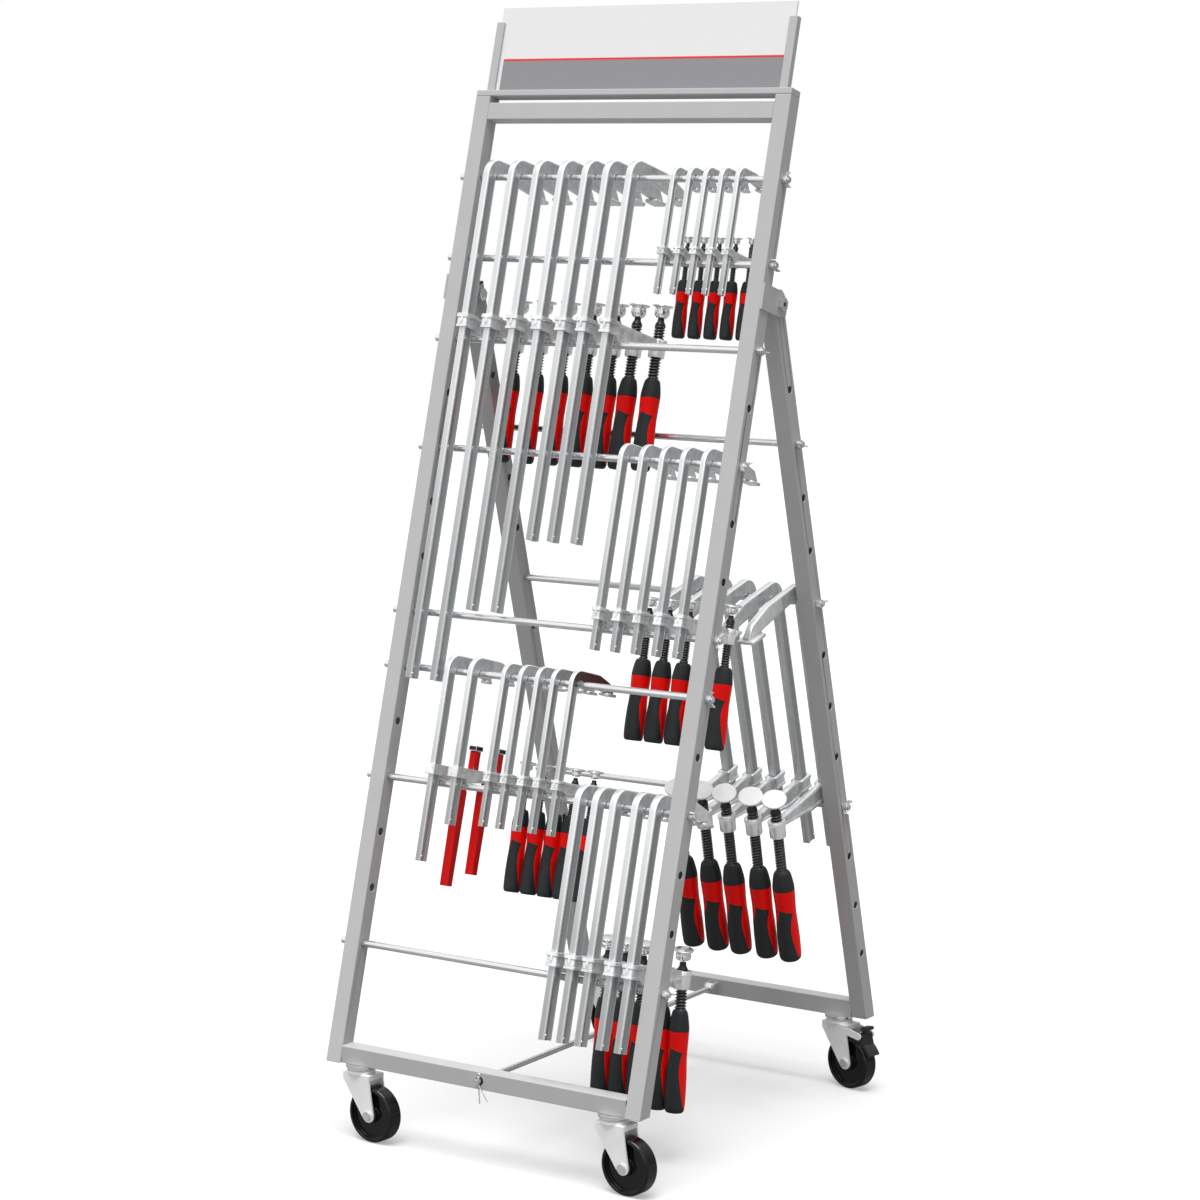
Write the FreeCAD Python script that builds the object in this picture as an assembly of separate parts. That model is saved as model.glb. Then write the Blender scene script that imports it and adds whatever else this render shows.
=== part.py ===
import FreeCAD, Part
import math
import os
from collections import namedtuple

# Clamp cart: a folding A-frame on four casters that stores bar clamps on cross rods.
# X runs along the rods, Y towards the back frame, Z up. Lengths are in millimetres.
# The front and back frames are drawn upright, with X, T (depth) and S (height), and then leaned.

# Frame tubes
cart_width = 530.0
tube_side = 25.0
tube_wall = 2.0
lean_degrees = 15.25
post_length = 1410.0
top_rail_drop = 10.0
plug_thickness = 3.0
plug_wall = 1.5
plug_depth = 14.0

# Hinge
hinge_height = 1126.5
hinge_offset = 50.5
back_post_above_hinge = 14.0
side_play = 0.3
bracket_plate = 3.0
bracket_height = 36.0
bracket_nose = 17.0
hinge_bolt_diameter = 10.0
hinge_bolt_play = 0.08
bolt_head_share = 1.7
bolt_head_height_share = 0.6
bracket_corner_share = 0.3
hex_sides = 6

# Rods and their holes
rod_diameter = 10.0
rod_hole_clearance = 0.3
rod_left_end = 12.0
rod_thread_diameter = 8.0
rod_thread_length = 10.5
first_rod_drop = 118.0
upper_rod_pitch = 120.0
rod_pitch = 80.0
upper_rod_count = 2
front_rod_steps = (0, 2, 5, 6, 8, 11)
front_hole_count = 12
back_first_hole = 124.0
back_rod_steps = (1, 4, 8)
back_hole_count = 12
wing_nut_height = 7.5
wing_nut_diameter = 11.5
wing_reach = 11.0
wing_thickness = 2.0
wing_rise_share = 0.65
wing_turn_step = 37.0
wing_turn_start = 20.0
thread_play = 0.05

# Sign
sign_bar_height = 9.0
sign_upright_width = 13.0
sign_upright_depth = 10.0
sign_upright_height = 104.0
sign_slot_depth = 8.0
sign_board_thickness = 3.0
sign_board_rise = 22.0
sign_slot_play = 0.3
sign_edge_inset = 12.0

# Spreader
spreader_diameter = 8.0
spreader_hole_diameter = 12.0
spreader_front_end = 9.0
spreader_eye_share = 1.9
spreader_eye_width_share = 1.2
spreader_eye_pin = 6.0
spreader_hinge_gap = 9.0
eye_ear_thickness = 3.0
clip_wire = 2.4
clip_leg = 28.0
clip_loop_share = 1.1
clip_gap = 0.5
clip_hole_play = 0.2
clip_leg_turns = (4.0, 34.0)
clip_leg_share = 0.7

# Casters
caster_height = 108.0
caster_trail = 26.0
caster_inset = 51.0
wheel_diameter = 80.0
wheel_width = 24.0
wheel_rim = 6.0
wheel_dish = 6.0
wheel_hub_diameter = 24.0
wheel_play = 1.2
wheel_hub_play_share = 0.6
wheel_crown_share = 0.2
axle_diameter = 8.0
axle_play = 0.08
axle_head_diameter = 13.0
axle_head_height = 4.0
fork_sheet = 2.5
fork_reach = 28.0
fork_front = 21.0
fork_toe = 10.0
fork_lip = 7.0
fork_taper_share = 0.4
upper_cup_diameter = 44.0
upper_cup_height = 6.0
lower_cup_diameter = 40.0
lower_cup_height = 5.0
cup_neck_share = 0.86
cup_edge_share = 0.6
bearing_gap = 0.3
kingpin_diameter = 10.0
kingpin_play = 0.08
kingpin_head = 16.0
kingpin_head_height = 3.0
front_left_turn = -5.0
front_right_turn = -5.0
back_left_turn = -9.0
back_right_turn = -14.0

# Brakes
brake_width = 22.0
brake_plate = 5.0
brake_gap = 0.3
brake_travel_degrees = 8.0
brake_first_angle = 20.0
brake_last_angle = 52.0
brake_shoe_parts = 4
brake_pin_angle = 60.0
brake_pin_rise = 12.0
brake_pin_diameter = 5.0
brake_pin_play = 0.08
brake_hub_diameter = 10.0
brake_ear_reach = 5.0
brake_stem = 13.0
brake_stem_width_share = 0.4
brake_tab_length = 12.0
brake_tab_width_share = 0.75

# Clamp sizes: rail, reach, screw, handle and pad
large_rail_depth = 20.0
large_rail_thickness = 10.5
large_throat = 120.0
large_spindle = 16.0
large_handle_diameter = 28.0
large_handle_length = 133.0
large_pad = 27.0
large_arm_height = 27.0

deep_throat = 132.0
deep_handle_diameter = 29.0
deep_handle_length = 139.0
deep_pad = 36.0

low_handle_diameter = 27.0
low_handle_length = 143.0
low_pad = 25.0

medium_rail_depth = 17.0
medium_rail_thickness = 8.0
medium_throat = 118.0
medium_spindle = 13.0
medium_handle_diameter = 28.0
medium_handle_length = 116.0
medium_pad = 24.0
medium_arm_height = 23.0

light_rail_depth = 15.0
light_rail_thickness = 7.0
light_throat = 82.0
light_spindle = 11.0
light_handle_diameter = 23.0
light_handle_length = 118.0
light_pad = 22.0
light_arm_height = 19.0

small_rail_depth = 11.0
small_rail_thickness = 7.0
small_throat = 57.0
small_spindle = 8.0
small_handle_diameter = 17.5
small_handle_length = 82.0
small_pad = 15.0
small_arm_height = 14.0

# Clamp shape, as shares of the sizes above
groove_lip_share = 0.2
groove_depth_share = 0.14
jaw_straight_share = 0.62
jaw_tip_share = 0.45
jaw_face_share = 0.42
jaw_foot_thickness_share = 0.28
foot_length_share = 1.0
arm_width_share = 1.3
collar_wall_share = 0.42
collar_height_share = 0.75
boss_diameter_share = 1.65
arm_end_height_share = 0.45
arm_pocket_share = 0.3
arm_border_share = 0.16
arm_root_share = 0.6
arm_belly_share = 2.0
boss_length_share = 0.95
boss_rise_share = 0.05
foot_width_share = 0.75
pad_height_share = 0.27
pad_socket_share = 0.6
pad_socket_height_share = 0.35
pad_rim_share = 0.55
neck_share = 0.62
handle_cap_share = 0.15
handle_top_share = 0.62
handle_waist_share = 0.88
handle_waist_place_share = 0.52
handle_end_round_share = 0.22

# Clearances of the hung clamps
hang_gap = 0.3
slide_play = 0.35
spindle_play = 0.3
rest_gap = 0.5
steep_tilt = 9.5
gentle_tilt = 4.0
slight_tilt = 2.0
first_tilt = 1.0
back_tilt = 3.0

# Rows: place of the first clamp from the left, spacing of the clamps and length of the rails
long_rail = 763.0
middle_rail = 658.0
short_rail = 552.0
large_clamp_count = 7
row_clamp_count = 5
long_rail_count = 2
middle_rail_count = 2
row_1_inset = 48.0
row_1_pitch = 41.0
row_1_spacing_shares = (1.05, 1.05, 1.05, 1.0, 0.86, 0.97)
row_2_inset = 360.5
row_2_pitch = 26.2
row_2_rail = 183.0
row_3_inset = 348.0
row_3_pitch = 33.5
row_3_rail = 293.0
row_4_inset = 207.0
row_4_pitch = 28.5
row_4_spacing_shares = (1.0, 1.0, 0.92, 1.1)
row_4_rail = 233.0
row_5_inset = 363.0
row_5_pitch = 30.5
row_5_spacing_shares = (0.96, 0.96, 1.15, 0.96)
row_5_rail = 353.0
row_6_inset = 329.0
row_6_pitch = 41.2
row_6_spacing_shares = (1.02, 0.95, 1.07, 0.95)
row_6_short_rail = 350.0
row_6_long_rail = 417.0
row_6_long_count = 2
row_1_pad_rise = 51.0
row_2_pad_rise = 30.0
row_3_pad_rise = 34.0
row_4_pad_rise = 23.0
row_5_pad_rise = 30.0
row_6_pad_rise = 42.0
row_1_handle_drop = 57.0
row_2_handle_drop = 32.0
row_3_handle_drop = 54.0
row_4_handle_drop = 44.0
row_5_handle_drop = 55.0
row_6_handle_drop = 79.0

# Lever clamps
lever_inset = 112.0
lever_pitch = 40.0
lever_lengths = (168.0, 147.0)
lever_rail_lengths = (296.0, 240.0)
lever_rail_depth = 18.0
lever_rail_thickness = 8.5
lever_throat = 84.0
lever_arm_height = 20.0
lever_place_share = 0.72
lever_depth = 15.0
lever_width = 14.0
lever_root = 12.0
lever_pin = 5.0
lever_gap = 0.4
nose_height = 36.0
nose_depth = 13.0
nose_cap_height = 7.0
nose_cap_share = 1.35
nose_top_share = 0.7
nose_width_share = 0.8
lever_hub_share = 0.6
lever_shoulder_share = 1.55
lever_taper_share = 0.25

# Cutting and joining allowances
overrun = 4.0

Clamp = namedtuple("Clamp", "depth thickness throat spindle handle_d handle_l pad arm_height")
Row = namedtuple("Row", "clamp places rail_lengths hang rest pad_rise handle_drop tilt")


# Worked-out places shared by many pieces
lean = math.radians(lean_degrees)
half_width = cart_width / 2
inner_half = half_width - tube_side
rod_radius = rod_diameter / 2
rod_depth = tube_side / 2
first_rod = post_length - first_rod_drop
third_rod = first_rod - upper_rod_count * upper_rod_pitch
hinge_y = hinge_height * math.sin(lean) + hinge_offset * math.cos(lean)
hinge_z = caster_height + hinge_height * math.cos(lean) - hinge_offset * math.sin(lean)
back_post_reach = (hinge_z - caster_height) / math.cos(lean)
rail_centre_shift = rod_depth / math.cos(lean) + rod_depth * math.tan(lean)
front_rail_y = rail_centre_shift
back_rail_y = hinge_y + (hinge_z - caster_height - rod_depth) * math.tan(lean)
bow_radius = rod_radius + hang_gap
spreader_z = caster_height + tube_side / 2
spreader_pin_y = back_rail_y - tube_side / 2 - spreader_hinge_gap
spreader_tip_y = front_rail_y - tube_side / 2 - spreader_front_end
clip_y = front_rail_y - tube_side / 2 - clip_gap - clip_wire / 2


def vector(x, y, z):
    return FreeCAD.Vector(x, y, z)


def box(x0, x1, y0, y1, z0, z1):
    return Part.makeBox(x1 - x0, y1 - y0, z1 - z0, vector(x0, y0, z0))


def rod_along_x(radius, x0, x1, y, z):
    return Part.makeCylinder(radius, x1 - x0, vector(x0, y, z), vector(1, 0, 0))


def disc(radius, height, x, y, z):
    return Part.makeCylinder(radius, height, vector(x, y, z))


def prism(points, x0, x1):
    """A closed outline of (T, S) points in the upright plane, given thickness along X."""
    corners = [vector(x0, t, s) for t, s in points]
    face = Part.Face(Part.makePolygon(corners + corners[:1]))
    return face.extrude(vector(x1 - x0, 0, 0))


def revolved(points):
    """A solid of revolution about Z from (radius, height) points, closed on the axis."""
    corners = [vector(r, 0, z) for r, z in points]
    face = Part.Face(Part.makePolygon(corners + corners[:1]))
    return face.revolve(vector(0, 0, 0), vector(0, 0, 1), 360)


def turned(shape, degrees, centre, axis):
    copy = shape.copy()
    copy.rotate(centre, axis, degrees)
    return copy


def moved(shape, x, y, z):
    copy = shape.copy()
    copy.translate(vector(x, y, z))
    return copy


def on_front(shape):
    """Lean an upright front piece back and stand it on the casters."""
    copy = turned(shape, -lean_degrees, vector(0, 0, 0), vector(1, 0, 0))
    return moved(copy, 0, 0, caster_height)


def on_back(shape):
    """Lean an upright back piece forward about the hinge, where its S is zero."""
    copy = turned(shape, lean_degrees, vector(0, 0, 0), vector(1, 0, 0))
    return moved(copy, 0, hinge_y, hinge_z)


def below_deck():
    """The space under the frames, used to cut the leaning posts level with the floor."""
    return box(-cart_width, cart_width, -cart_width, hinge_y + cart_width, -cart_width, caster_height)


def front_rod_heights():
    upper = [first_rod - index * upper_rod_pitch for index in range(upper_rod_count)]
    return upper + [third_rod - step * rod_pitch for step in front_rod_steps]


def front_hole_heights():
    upper = [first_rod - index * upper_rod_pitch for index in range(upper_rod_count)]
    return upper + [third_rod - step * rod_pitch for step in range(front_hole_count)]


def back_rod_drops():
    return [back_first_hole + step * rod_pitch for step in back_rod_steps]


def back_hole_drops():
    return [back_first_hole + step * rod_pitch for step in range(back_hole_count)]


def square_tube_upright(x0, t0, s0, s1):
    inner = tube_side - tube_wall
    outside = box(x0, x0 + tube_side, t0, t0 + tube_side, s0, s1)
    inside = box(x0 + tube_wall, x0 + inner, t0 + tube_wall, t0 + inner, s0 - overrun, s1 + overrun)
    return outside.cut(inside)


def square_tube_across(half_length, y0, z0):
    inner = tube_side - tube_wall
    outside = box(-half_length, half_length, y0, y0 + tube_side, z0, z0 + tube_side)
    reach = half_length + overrun
    return outside.cut(box(-reach, reach, y0 + tube_wall, y0 + inner, z0 + tube_wall, z0 + inner))


def rod_holes(x0, depth, heights):
    radius = rod_radius + rod_hole_clearance
    holes = [rod_along_x(radius, x0 - overrun, x0 + tube_side + overrun, depth, s) for s in heights]
    return Part.makeCompound(holes)


def front_post(side):
    x0 = -half_width if side < 0 else inner_half
    post = square_tube_upright(x0, 0, -tube_side, post_length)
    post = post.cut(rod_holes(x0, rod_depth, front_hole_heights()))
    return on_front(post).cut(below_deck())


def back_post(side):
    outer = half_width - side_play
    x0 = -outer if side < 0 else outer - tube_side
    post = square_tube_upright(x0, -rod_depth, -back_post_reach - tube_side, back_post_above_hinge)
    post = post.cut(rod_holes(x0, 0, [-drop for drop in back_hole_drops()]))
    bolt_hole = hinge_bolt_diameter / 2 + hinge_bolt_play
    post = post.cut(rod_along_x(bolt_hole, x0 - overrun, x0 + tube_side + overrun, 0, 0))
    return on_back(post).cut(below_deck())


def front_top_rail():
    return on_front(square_tube_across(inner_half, 0, post_length - top_rail_drop - tube_side))


def front_bottom_rail():
    rail = square_tube_across(inner_half, front_rail_y - rod_depth, caster_height)
    radius = spreader_hole_diameter / 2
    start = vector(0, front_rail_y - tube_side, spreader_z)
    return rail.cut(Part.makeCylinder(radius, tube_side * 2, start, vector(0, 1, 0)))


def back_bottom_rail():
    half_length = inner_half - side_play
    return square_tube_across(half_length, back_rail_y - rod_depth, caster_height)


def post_plugs():
    outer = half_width - side_play
    plugs = []
    for side in (-1, 1):
        x0 = -outer if side < 0 else outer - tube_side
        top = back_post_above_hinge
        cap = box(x0, x0 + tube_side, -rod_depth, rod_depth, top, top + plug_thickness)
        stem_x = x0 + tube_wall
        stem_end = x0 + tube_side - tube_wall
        stem_t = rod_depth - tube_wall
        depth = back_post_above_hinge - plug_depth / 2
        stem = box(stem_x, stem_end, -stem_t, stem_t, depth, top)
        bore = box(stem_x + plug_wall, stem_end - plug_wall, -stem_t + plug_wall, stem_t - plug_wall,
                   depth - overrun, top)
        plugs.append(on_back(cap.fuse(stem.cut(bore))))
    return plugs


def hinge_bracket(side):
    """A plate on the post's outer side that carries the hinge bolt, with a web behind the post."""
    low = hinge_height - bracket_height / 2
    high = hinge_height + bracket_height / 2
    nose = hinge_offset + bracket_nose
    shoulder = hinge_offset
    corner = bracket_height * bracket_corner_share
    outline = [(0, low), (0, high), (shoulder, high), (nose, high - corner), (nose, low + corner / 2),
               (nose - corner, low), (tube_side, low)]
    plate = prism(outline, half_width, half_width + bracket_plate)
    hole = hinge_bolt_diameter / 2
    plate = plate.cut(rod_along_x(hole, inner_half, half_width + tube_side, hinge_offset, hinge_height))
    web = box(inner_half, half_width, tube_side, tube_side + bracket_plate, low, high)
    bracket = plate.fuse(web).removeSplitter()
    if side < 0:
        bracket = bracket.mirror(vector(0, 0, 0), vector(1, 0, 0))
    return on_front(bracket)


def hex_prism(across, height):
    step = 2 * math.pi / hex_sides
    radius = across / 2 / math.cos(step / 2)
    corners = [vector(radius * math.cos(step * k), radius * math.sin(step * k), 0) for k in range(hex_sides)]
    return Part.Face(Part.makePolygon(corners + corners[:1])).extrude(vector(0, 0, height))


def hinge_bolt(side):
    across = hinge_bolt_diameter * bolt_head_share
    head_height = hinge_bolt_diameter * bolt_head_height_share
    outer = half_width + bracket_plate
    inner = half_width - side_play * 2 - tube_side
    shaft_length = outer - inner + head_height
    shaft = Part.makeCylinder(hinge_bolt_diameter / 2, shaft_length)
    head = moved(hex_prism(across, head_height), 0, 0, shaft_length)
    nut = hex_prism(across, head_height)
    bolt = shaft.fuse(head).fuse(nut).removeSplitter()
    bolt = turned(bolt, 90, vector(0, 0, 0), vector(0, 1, 0))
    bolt = moved(bolt, inner - head_height, hinge_offset, hinge_height)
    if side < 0:
        bolt = bolt.mirror(vector(0, 0, 0), vector(1, 0, 0))
    return on_front(bolt)


def cross_rod(width, depth, height):
    """A rod right across the frame, plain at the left and threaded down at the right."""
    body = rod_along_x(rod_radius, -width - rod_left_end, width, depth, height)
    thread = rod_along_x(rod_thread_diameter / 2, width - overrun, width + rod_thread_length, depth, height)
    return body.fuse(thread).removeSplitter()


def wing_nut(width, depth, height, turn):
    """A hub with two wings, screwed against the post on the rod's threaded end."""
    bore = rod_thread_diameter / 2 + thread_play
    hub_radius = wing_nut_diameter / 2
    rise = wing_nut_height * wing_rise_share
    wings = revolved([(bore, 0), (hub_radius, 0), (bore + wing_thickness, wing_nut_height),
                      (bore, wing_nut_height)])
    for sign in (-1, 1):
        near = sign * (bore + wing_thickness / 2)
        far = sign * wing_reach
        corners = [vector(near, 0, 0), vector(far, 0, rise), vector(far, 0, wing_nut_height + rise),
                   vector(near, 0, wing_nut_height)]
        blade = Part.Face(Part.makePolygon(corners + corners[:1]))
        blade = blade.extrude(vector(0, wing_thickness, 0))
        wings = wings.fuse(moved(blade, 0, -wing_thickness / 2, 0))
    wings = wings.cut(Part.makeCylinder(bore, wing_nut_height * 2))
    wings = turned(wings, turn, vector(0, 0, 0), vector(0, 0, 1))
    wings = turned(wings, 90, vector(0, 0, 0), vector(0, 1, 0))
    return moved(wings, width, depth, height)


def wing_turn(index):
    """Each nut stops at its own angle."""
    return wing_turn_step * index + wing_turn_start


def sign_holder():
    """A bar on the post ends with a slotted upright at each side."""
    low = post_length
    bar = box(-half_width, half_width, 0, tube_side, low, low + sign_bar_height)
    slot_t = rod_depth - sign_board_thickness / 2 - sign_slot_play
    slot_end = rod_depth + sign_board_thickness / 2 + sign_slot_play
    holder = bar
    reach = half_width - sign_edge_inset
    top = low + sign_bar_height + sign_upright_height
    t0 = rod_depth - sign_upright_depth / 2
    t1 = rod_depth + sign_upright_depth / 2
    for side in (-1, 1):
        outer = side * reach
        inner = side * (reach - sign_upright_width)
        upright = box(min(outer, inner), max(outer, inner), t0, t1, low, top)
        holder = holder.fuse(upright)
    half_slot = reach - sign_upright_width + sign_slot_depth
    slot = box(-half_slot, half_slot, slot_t, slot_end, low + sign_bar_height, top + overrun)
    return on_front(holder.removeSplitter().cut(slot))


def sign_board():
    half_board = half_width - sign_edge_inset - sign_upright_width + sign_slot_depth - sign_slot_play
    low = post_length + sign_bar_height
    top = low + sign_upright_height + sign_board_rise
    t0 = rod_depth - sign_board_thickness / 2
    return on_front(box(-half_board, half_board, t0, t0 + sign_board_thickness, low, top))


def spreader_rod():
    """A rod with an eye for the back rail's pin and a cross hole for the clip at the front."""
    eye = spreader_diameter * spreader_eye_share / 2
    shaft = Part.makeCylinder(spreader_diameter / 2, spreader_pin_y - spreader_tip_y,
                              vector(0, spreader_tip_y, spreader_z), vector(0, 1, 0))
    half_ring = spreader_diameter * spreader_eye_width_share / 2
    ring = rod_along_x(eye, -half_ring, half_ring, spreader_pin_y, spreader_z)
    rod = shaft.fuse(ring).removeSplitter()
    hole = spreader_eye_pin / 2 + hinge_bolt_play
    rod = rod.cut(rod_along_x(hole, -spreader_diameter, spreader_diameter, spreader_pin_y, spreader_z))
    clip_hole = clip_wire / 2 + clip_hole_play
    return rod.cut(disc(clip_hole, spreader_diameter * 2, 0, clip_y, spreader_z - spreader_diameter))


def spreader_ears():
    """Two ears and their pin on the back rail, which hold the spreader's eye."""
    gap = spreader_diameter * spreader_eye_width_share / 2 + side_play
    half_ear = spreader_diameter * spreader_eye_share / 2
    rail_face = back_rail_y - tube_side / 2
    tip = spreader_pin_y - half_ear
    pieces = []
    for side in (-1, 1):
        inner = side * gap
        outer = side * (gap + eye_ear_thickness)
        ear = box(min(inner, outer), max(inner, outer), spreader_pin_y, rail_face,
                  spreader_z - half_ear, spreader_z + half_ear)
        nose = rod_along_x(spreader_pin_y - tip, min(inner, outer), max(inner, outer),
                           spreader_pin_y, spreader_z)
        pieces.append(ear.fuse(nose))
    reach = gap + eye_ear_thickness + side_play
    pin = rod_along_x(spreader_eye_pin / 2, -reach, reach, spreader_pin_y, spreader_z)
    return pin.multiFuse(pieces).removeSplitter()


def spreader_clip():
    """A split pin: an eye above the rod, a shank through it and two legs spread below."""
    radius = spreader_diameter / 2
    wire = clip_wire / 2
    loop = clip_wire * clip_loop_share
    shank = disc(wire, radius * 2 + clip_wire, 0, clip_y, spreader_z - radius - wire)
    eye_z = spreader_z + radius + wire + loop
    ring = Part.makeTorus(loop, wire * clip_leg_share, vector(0, clip_y, eye_z), vector(0, 1, 0))
    foot = vector(0, clip_y, spreader_z - radius - wire)
    legs = []
    for degrees in clip_leg_turns:
        angle = math.radians(degrees)
        along = vector(math.sin(angle), 0, -math.cos(angle))
        start = foot - along * wire
        legs.append(Part.makeCylinder(wire * clip_leg_share, clip_leg, start, along))
    return shank.multiFuse([ring] + legs)


def caster_places():
    reach = half_width - caster_inset
    return [("front_left", -reach, front_rail_y, front_left_turn),
            ("front_right", reach, front_rail_y, front_right_turn),
            ("back_left", -reach, back_rail_y, back_left_turn),
            ("back_right", reach, back_rail_y, back_right_turn)]


def placed_caster(shape, x, y, turn):
    return moved(turned(shape, turn, vector(0, 0, 0), vector(0, 0, 1)), x, y, 0)


def caster_head():
    """The fixed upper cup and the kingpin that holds the fork up."""
    top = caster_height
    radius = upper_cup_diameter / 2
    low = top - upper_cup_height
    edge = top - upper_cup_height * cup_edge_share
    cup = revolved([(0, low), (radius * cup_neck_share, low), (radius, edge), (radius, top), (0, top)])
    pin_end = fork_plate_bottom() - bearing_gap - kingpin_head_height
    pin = disc(kingpin_diameter / 2, top - pin_end, 0, 0, pin_end)
    head = disc(kingpin_head / 2, kingpin_head_height, 0, 0, pin_end)
    return cup.fuse(pin).fuse(head).removeSplitter()


def fork_plate_top():
    return caster_height - upper_cup_height - bearing_gap - lower_cup_height


def fork_plate_bottom():
    return fork_plate_top() - fork_sheet


def fork_half_gap():
    return wheel_width / 2 + wheel_play


def wheel_point(radius, degrees):
    """A point about the axle, the angle measured up from the trailing side."""
    angle = math.radians(degrees)
    return caster_trail + radius * math.cos(angle), wheel_diameter / 2 + radius * math.sin(angle)


def brake_pin_place():
    return wheel_point(wheel_diameter / 2 + brake_pin_rise, brake_pin_angle)


def upright_sheet(points, y0, thickness):
    """A closed outline of (X, Z) points given thickness along Y."""
    corners = [vector(x, y0, z) for x, z in points]
    return Part.Face(Part.makePolygon(corners + corners[:1])).extrude(vector(0, thickness, 0))


def rod_along_y(radius, y0, length, x, z):
    return Part.makeCylinder(radius, length, vector(x, y0, z), vector(0, 1, 0))


def caster_fork(braked):
    """A pressed fork: lower bearing cup, top plate with a turned lip, and two tapered legs."""
    top = fork_plate_top()
    under = fork_plate_bottom()
    gap = fork_half_gap()
    outer = gap + fork_sheet
    axle_z = wheel_diameter / 2
    radius = lower_cup_diameter / 2
    crown = top + lower_cup_height
    fork = revolved([(0, top), (radius, top), (radius, top + lower_cup_height * cup_edge_share),
                     (radius * cup_neck_share, crown), (0, crown)])
    fork = fork.fuse(box(-fork_front, fork_reach, -outer, outer, under, top))
    fork = fork.fuse(box(fork_reach - fork_sheet, fork_reach, -outer, outer, top - fork_lip, top))
    for y0 in (-outer, gap):
        leg = upright_sheet(leg_outline(axle_z, under), y0, fork_sheet)
        fork = fork.fuse(leg).fuse(rod_along_y(fork_toe, y0, fork_sheet, caster_trail, axle_z))
        if braked:
            fork = fork.fuse(brake_ear(y0, under))
    if braked:
        pin_x, pin_z = brake_pin_place()
        fork = fork.fuse(rod_along_y(brake_pin_diameter / 2, -outer, outer * 2, pin_x, pin_z))
    fork = fork.removeSplitter()
    fork = fork.cut(disc(kingpin_diameter / 2 + kingpin_play, caster_height, 0, 0, 0))
    return fork.cut(rod_along_y(axle_diameter / 2, -outer * 2, outer * 4, caster_trail, axle_z))


def leg_outline(axle_z, under):
    """The leg tapers from the whole plate down to the rounded toe."""
    toe_left = caster_trail - fork_toe
    toe_right = caster_trail + fork_toe
    shoulder = under - fork_lip
    return [(-fork_front, under), (-fork_front, shoulder), (toe_left, axle_z - fork_toe * fork_taper_share),
            (toe_right, axle_z), (fork_reach, shoulder), (fork_reach, under)]


def brake_ear(y0, under):
    """An ear that carries the brake's pin out over the wheel."""
    pin_x, pin_z = brake_pin_place()
    half = brake_ear_reach
    low = under - fork_lip
    ear = upright_sheet([(0, under), (0, low), (pin_x, pin_z - half), (pin_x, pin_z + half),
                         (fork_reach, under)], y0, fork_sheet)
    return ear.fuse(rod_along_y(half, y0, fork_sheet, pin_x, pin_z))


def brake():
    """A rocking pedal: a shoe that follows the tread, a stem and a tab to step on.

    It is drawn pressed on the wheel and then turned back by its travel.
    """
    pin_x, pin_z = brake_pin_place()
    half = brake_width / 2
    inner = wheel_diameter / 2 + brake_gap
    outer = inner + brake_plate
    sweep = brake_last_angle - brake_first_angle
    angles = [brake_first_angle + sweep * k / brake_shoe_parts for k in range(brake_shoe_parts + 1)]
    lower = [wheel_point(inner, angle) for angle in angles]
    upper = [wheel_point(outer, angle) for angle in reversed(angles)]
    body = upright_sheet(lower + upper, -half, brake_width)
    hub_radius = brake_hub_diameter / 2
    body = body.fuse(rod_along_y(hub_radius, -half, brake_width, pin_x, pin_z))
    middle_x, middle_z = wheel_point(outer, brake_last_angle - sweep / brake_shoe_parts)
    web = [(pin_x - hub_radius, pin_z), lower[-1], (middle_x, middle_z), (pin_x + hub_radius, pin_z)]
    body = body.fuse(upright_sheet(web, -half, brake_width))
    half_stem = half * brake_stem_width_share
    top = pin_z + brake_stem
    stem = box(pin_x, pin_x + brake_plate, -half_stem, half_stem, pin_z, top)
    half_tab = half * brake_tab_width_share
    tab = box(pin_x, pin_x + brake_tab_length, -half_tab, half_tab, top - brake_plate, top)
    body = body.multiFuse([stem, tab]).removeSplitter()
    body = body.cut(rod_along_y(brake_pin_diameter / 2 + brake_pin_play, -half * 2, half * 4, pin_x, pin_z))
    return turned(body, -brake_travel_degrees, vector(pin_x, 0, pin_z), vector(0, 1, 0))


def wheel():
    """A solid moulded wheel, dished on both faces, with a hub that runs on the axle."""
    radius = wheel_diameter / 2
    half = wheel_width / 2
    hub = wheel_hub_diameter / 2
    bore = axle_diameter / 2 + axle_play
    web = half - wheel_dish
    hub_half = half + wheel_play * wheel_hub_play_share
    rim = radius - wheel_rim
    crown = half * wheel_crown_share
    side = [(bore, hub_half), (hub, hub_half), (hub, web), (rim, web), (rim, half), (radius - crown, half),
            (radius, half - crown)]
    profile = side + [(r, -z) for r, z in reversed(side)]
    shape = turned(revolved(profile), 90, vector(0, 0, 0), vector(1, 0, 0))
    return moved(shape, caster_trail, 0, radius)


def axle():
    reach = fork_half_gap() + fork_sheet
    axle_z = wheel_diameter / 2
    shaft = rod_along_y(axle_diameter / 2, -reach, reach * 2, caster_trail, axle_z)
    heads = [rod_along_y(axle_head_diameter / 2, y, axle_head_height, caster_trail, axle_z)
             for y in (-reach - axle_head_height, reach)]
    return shaft.multiFuse(heads).removeSplitter()


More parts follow.
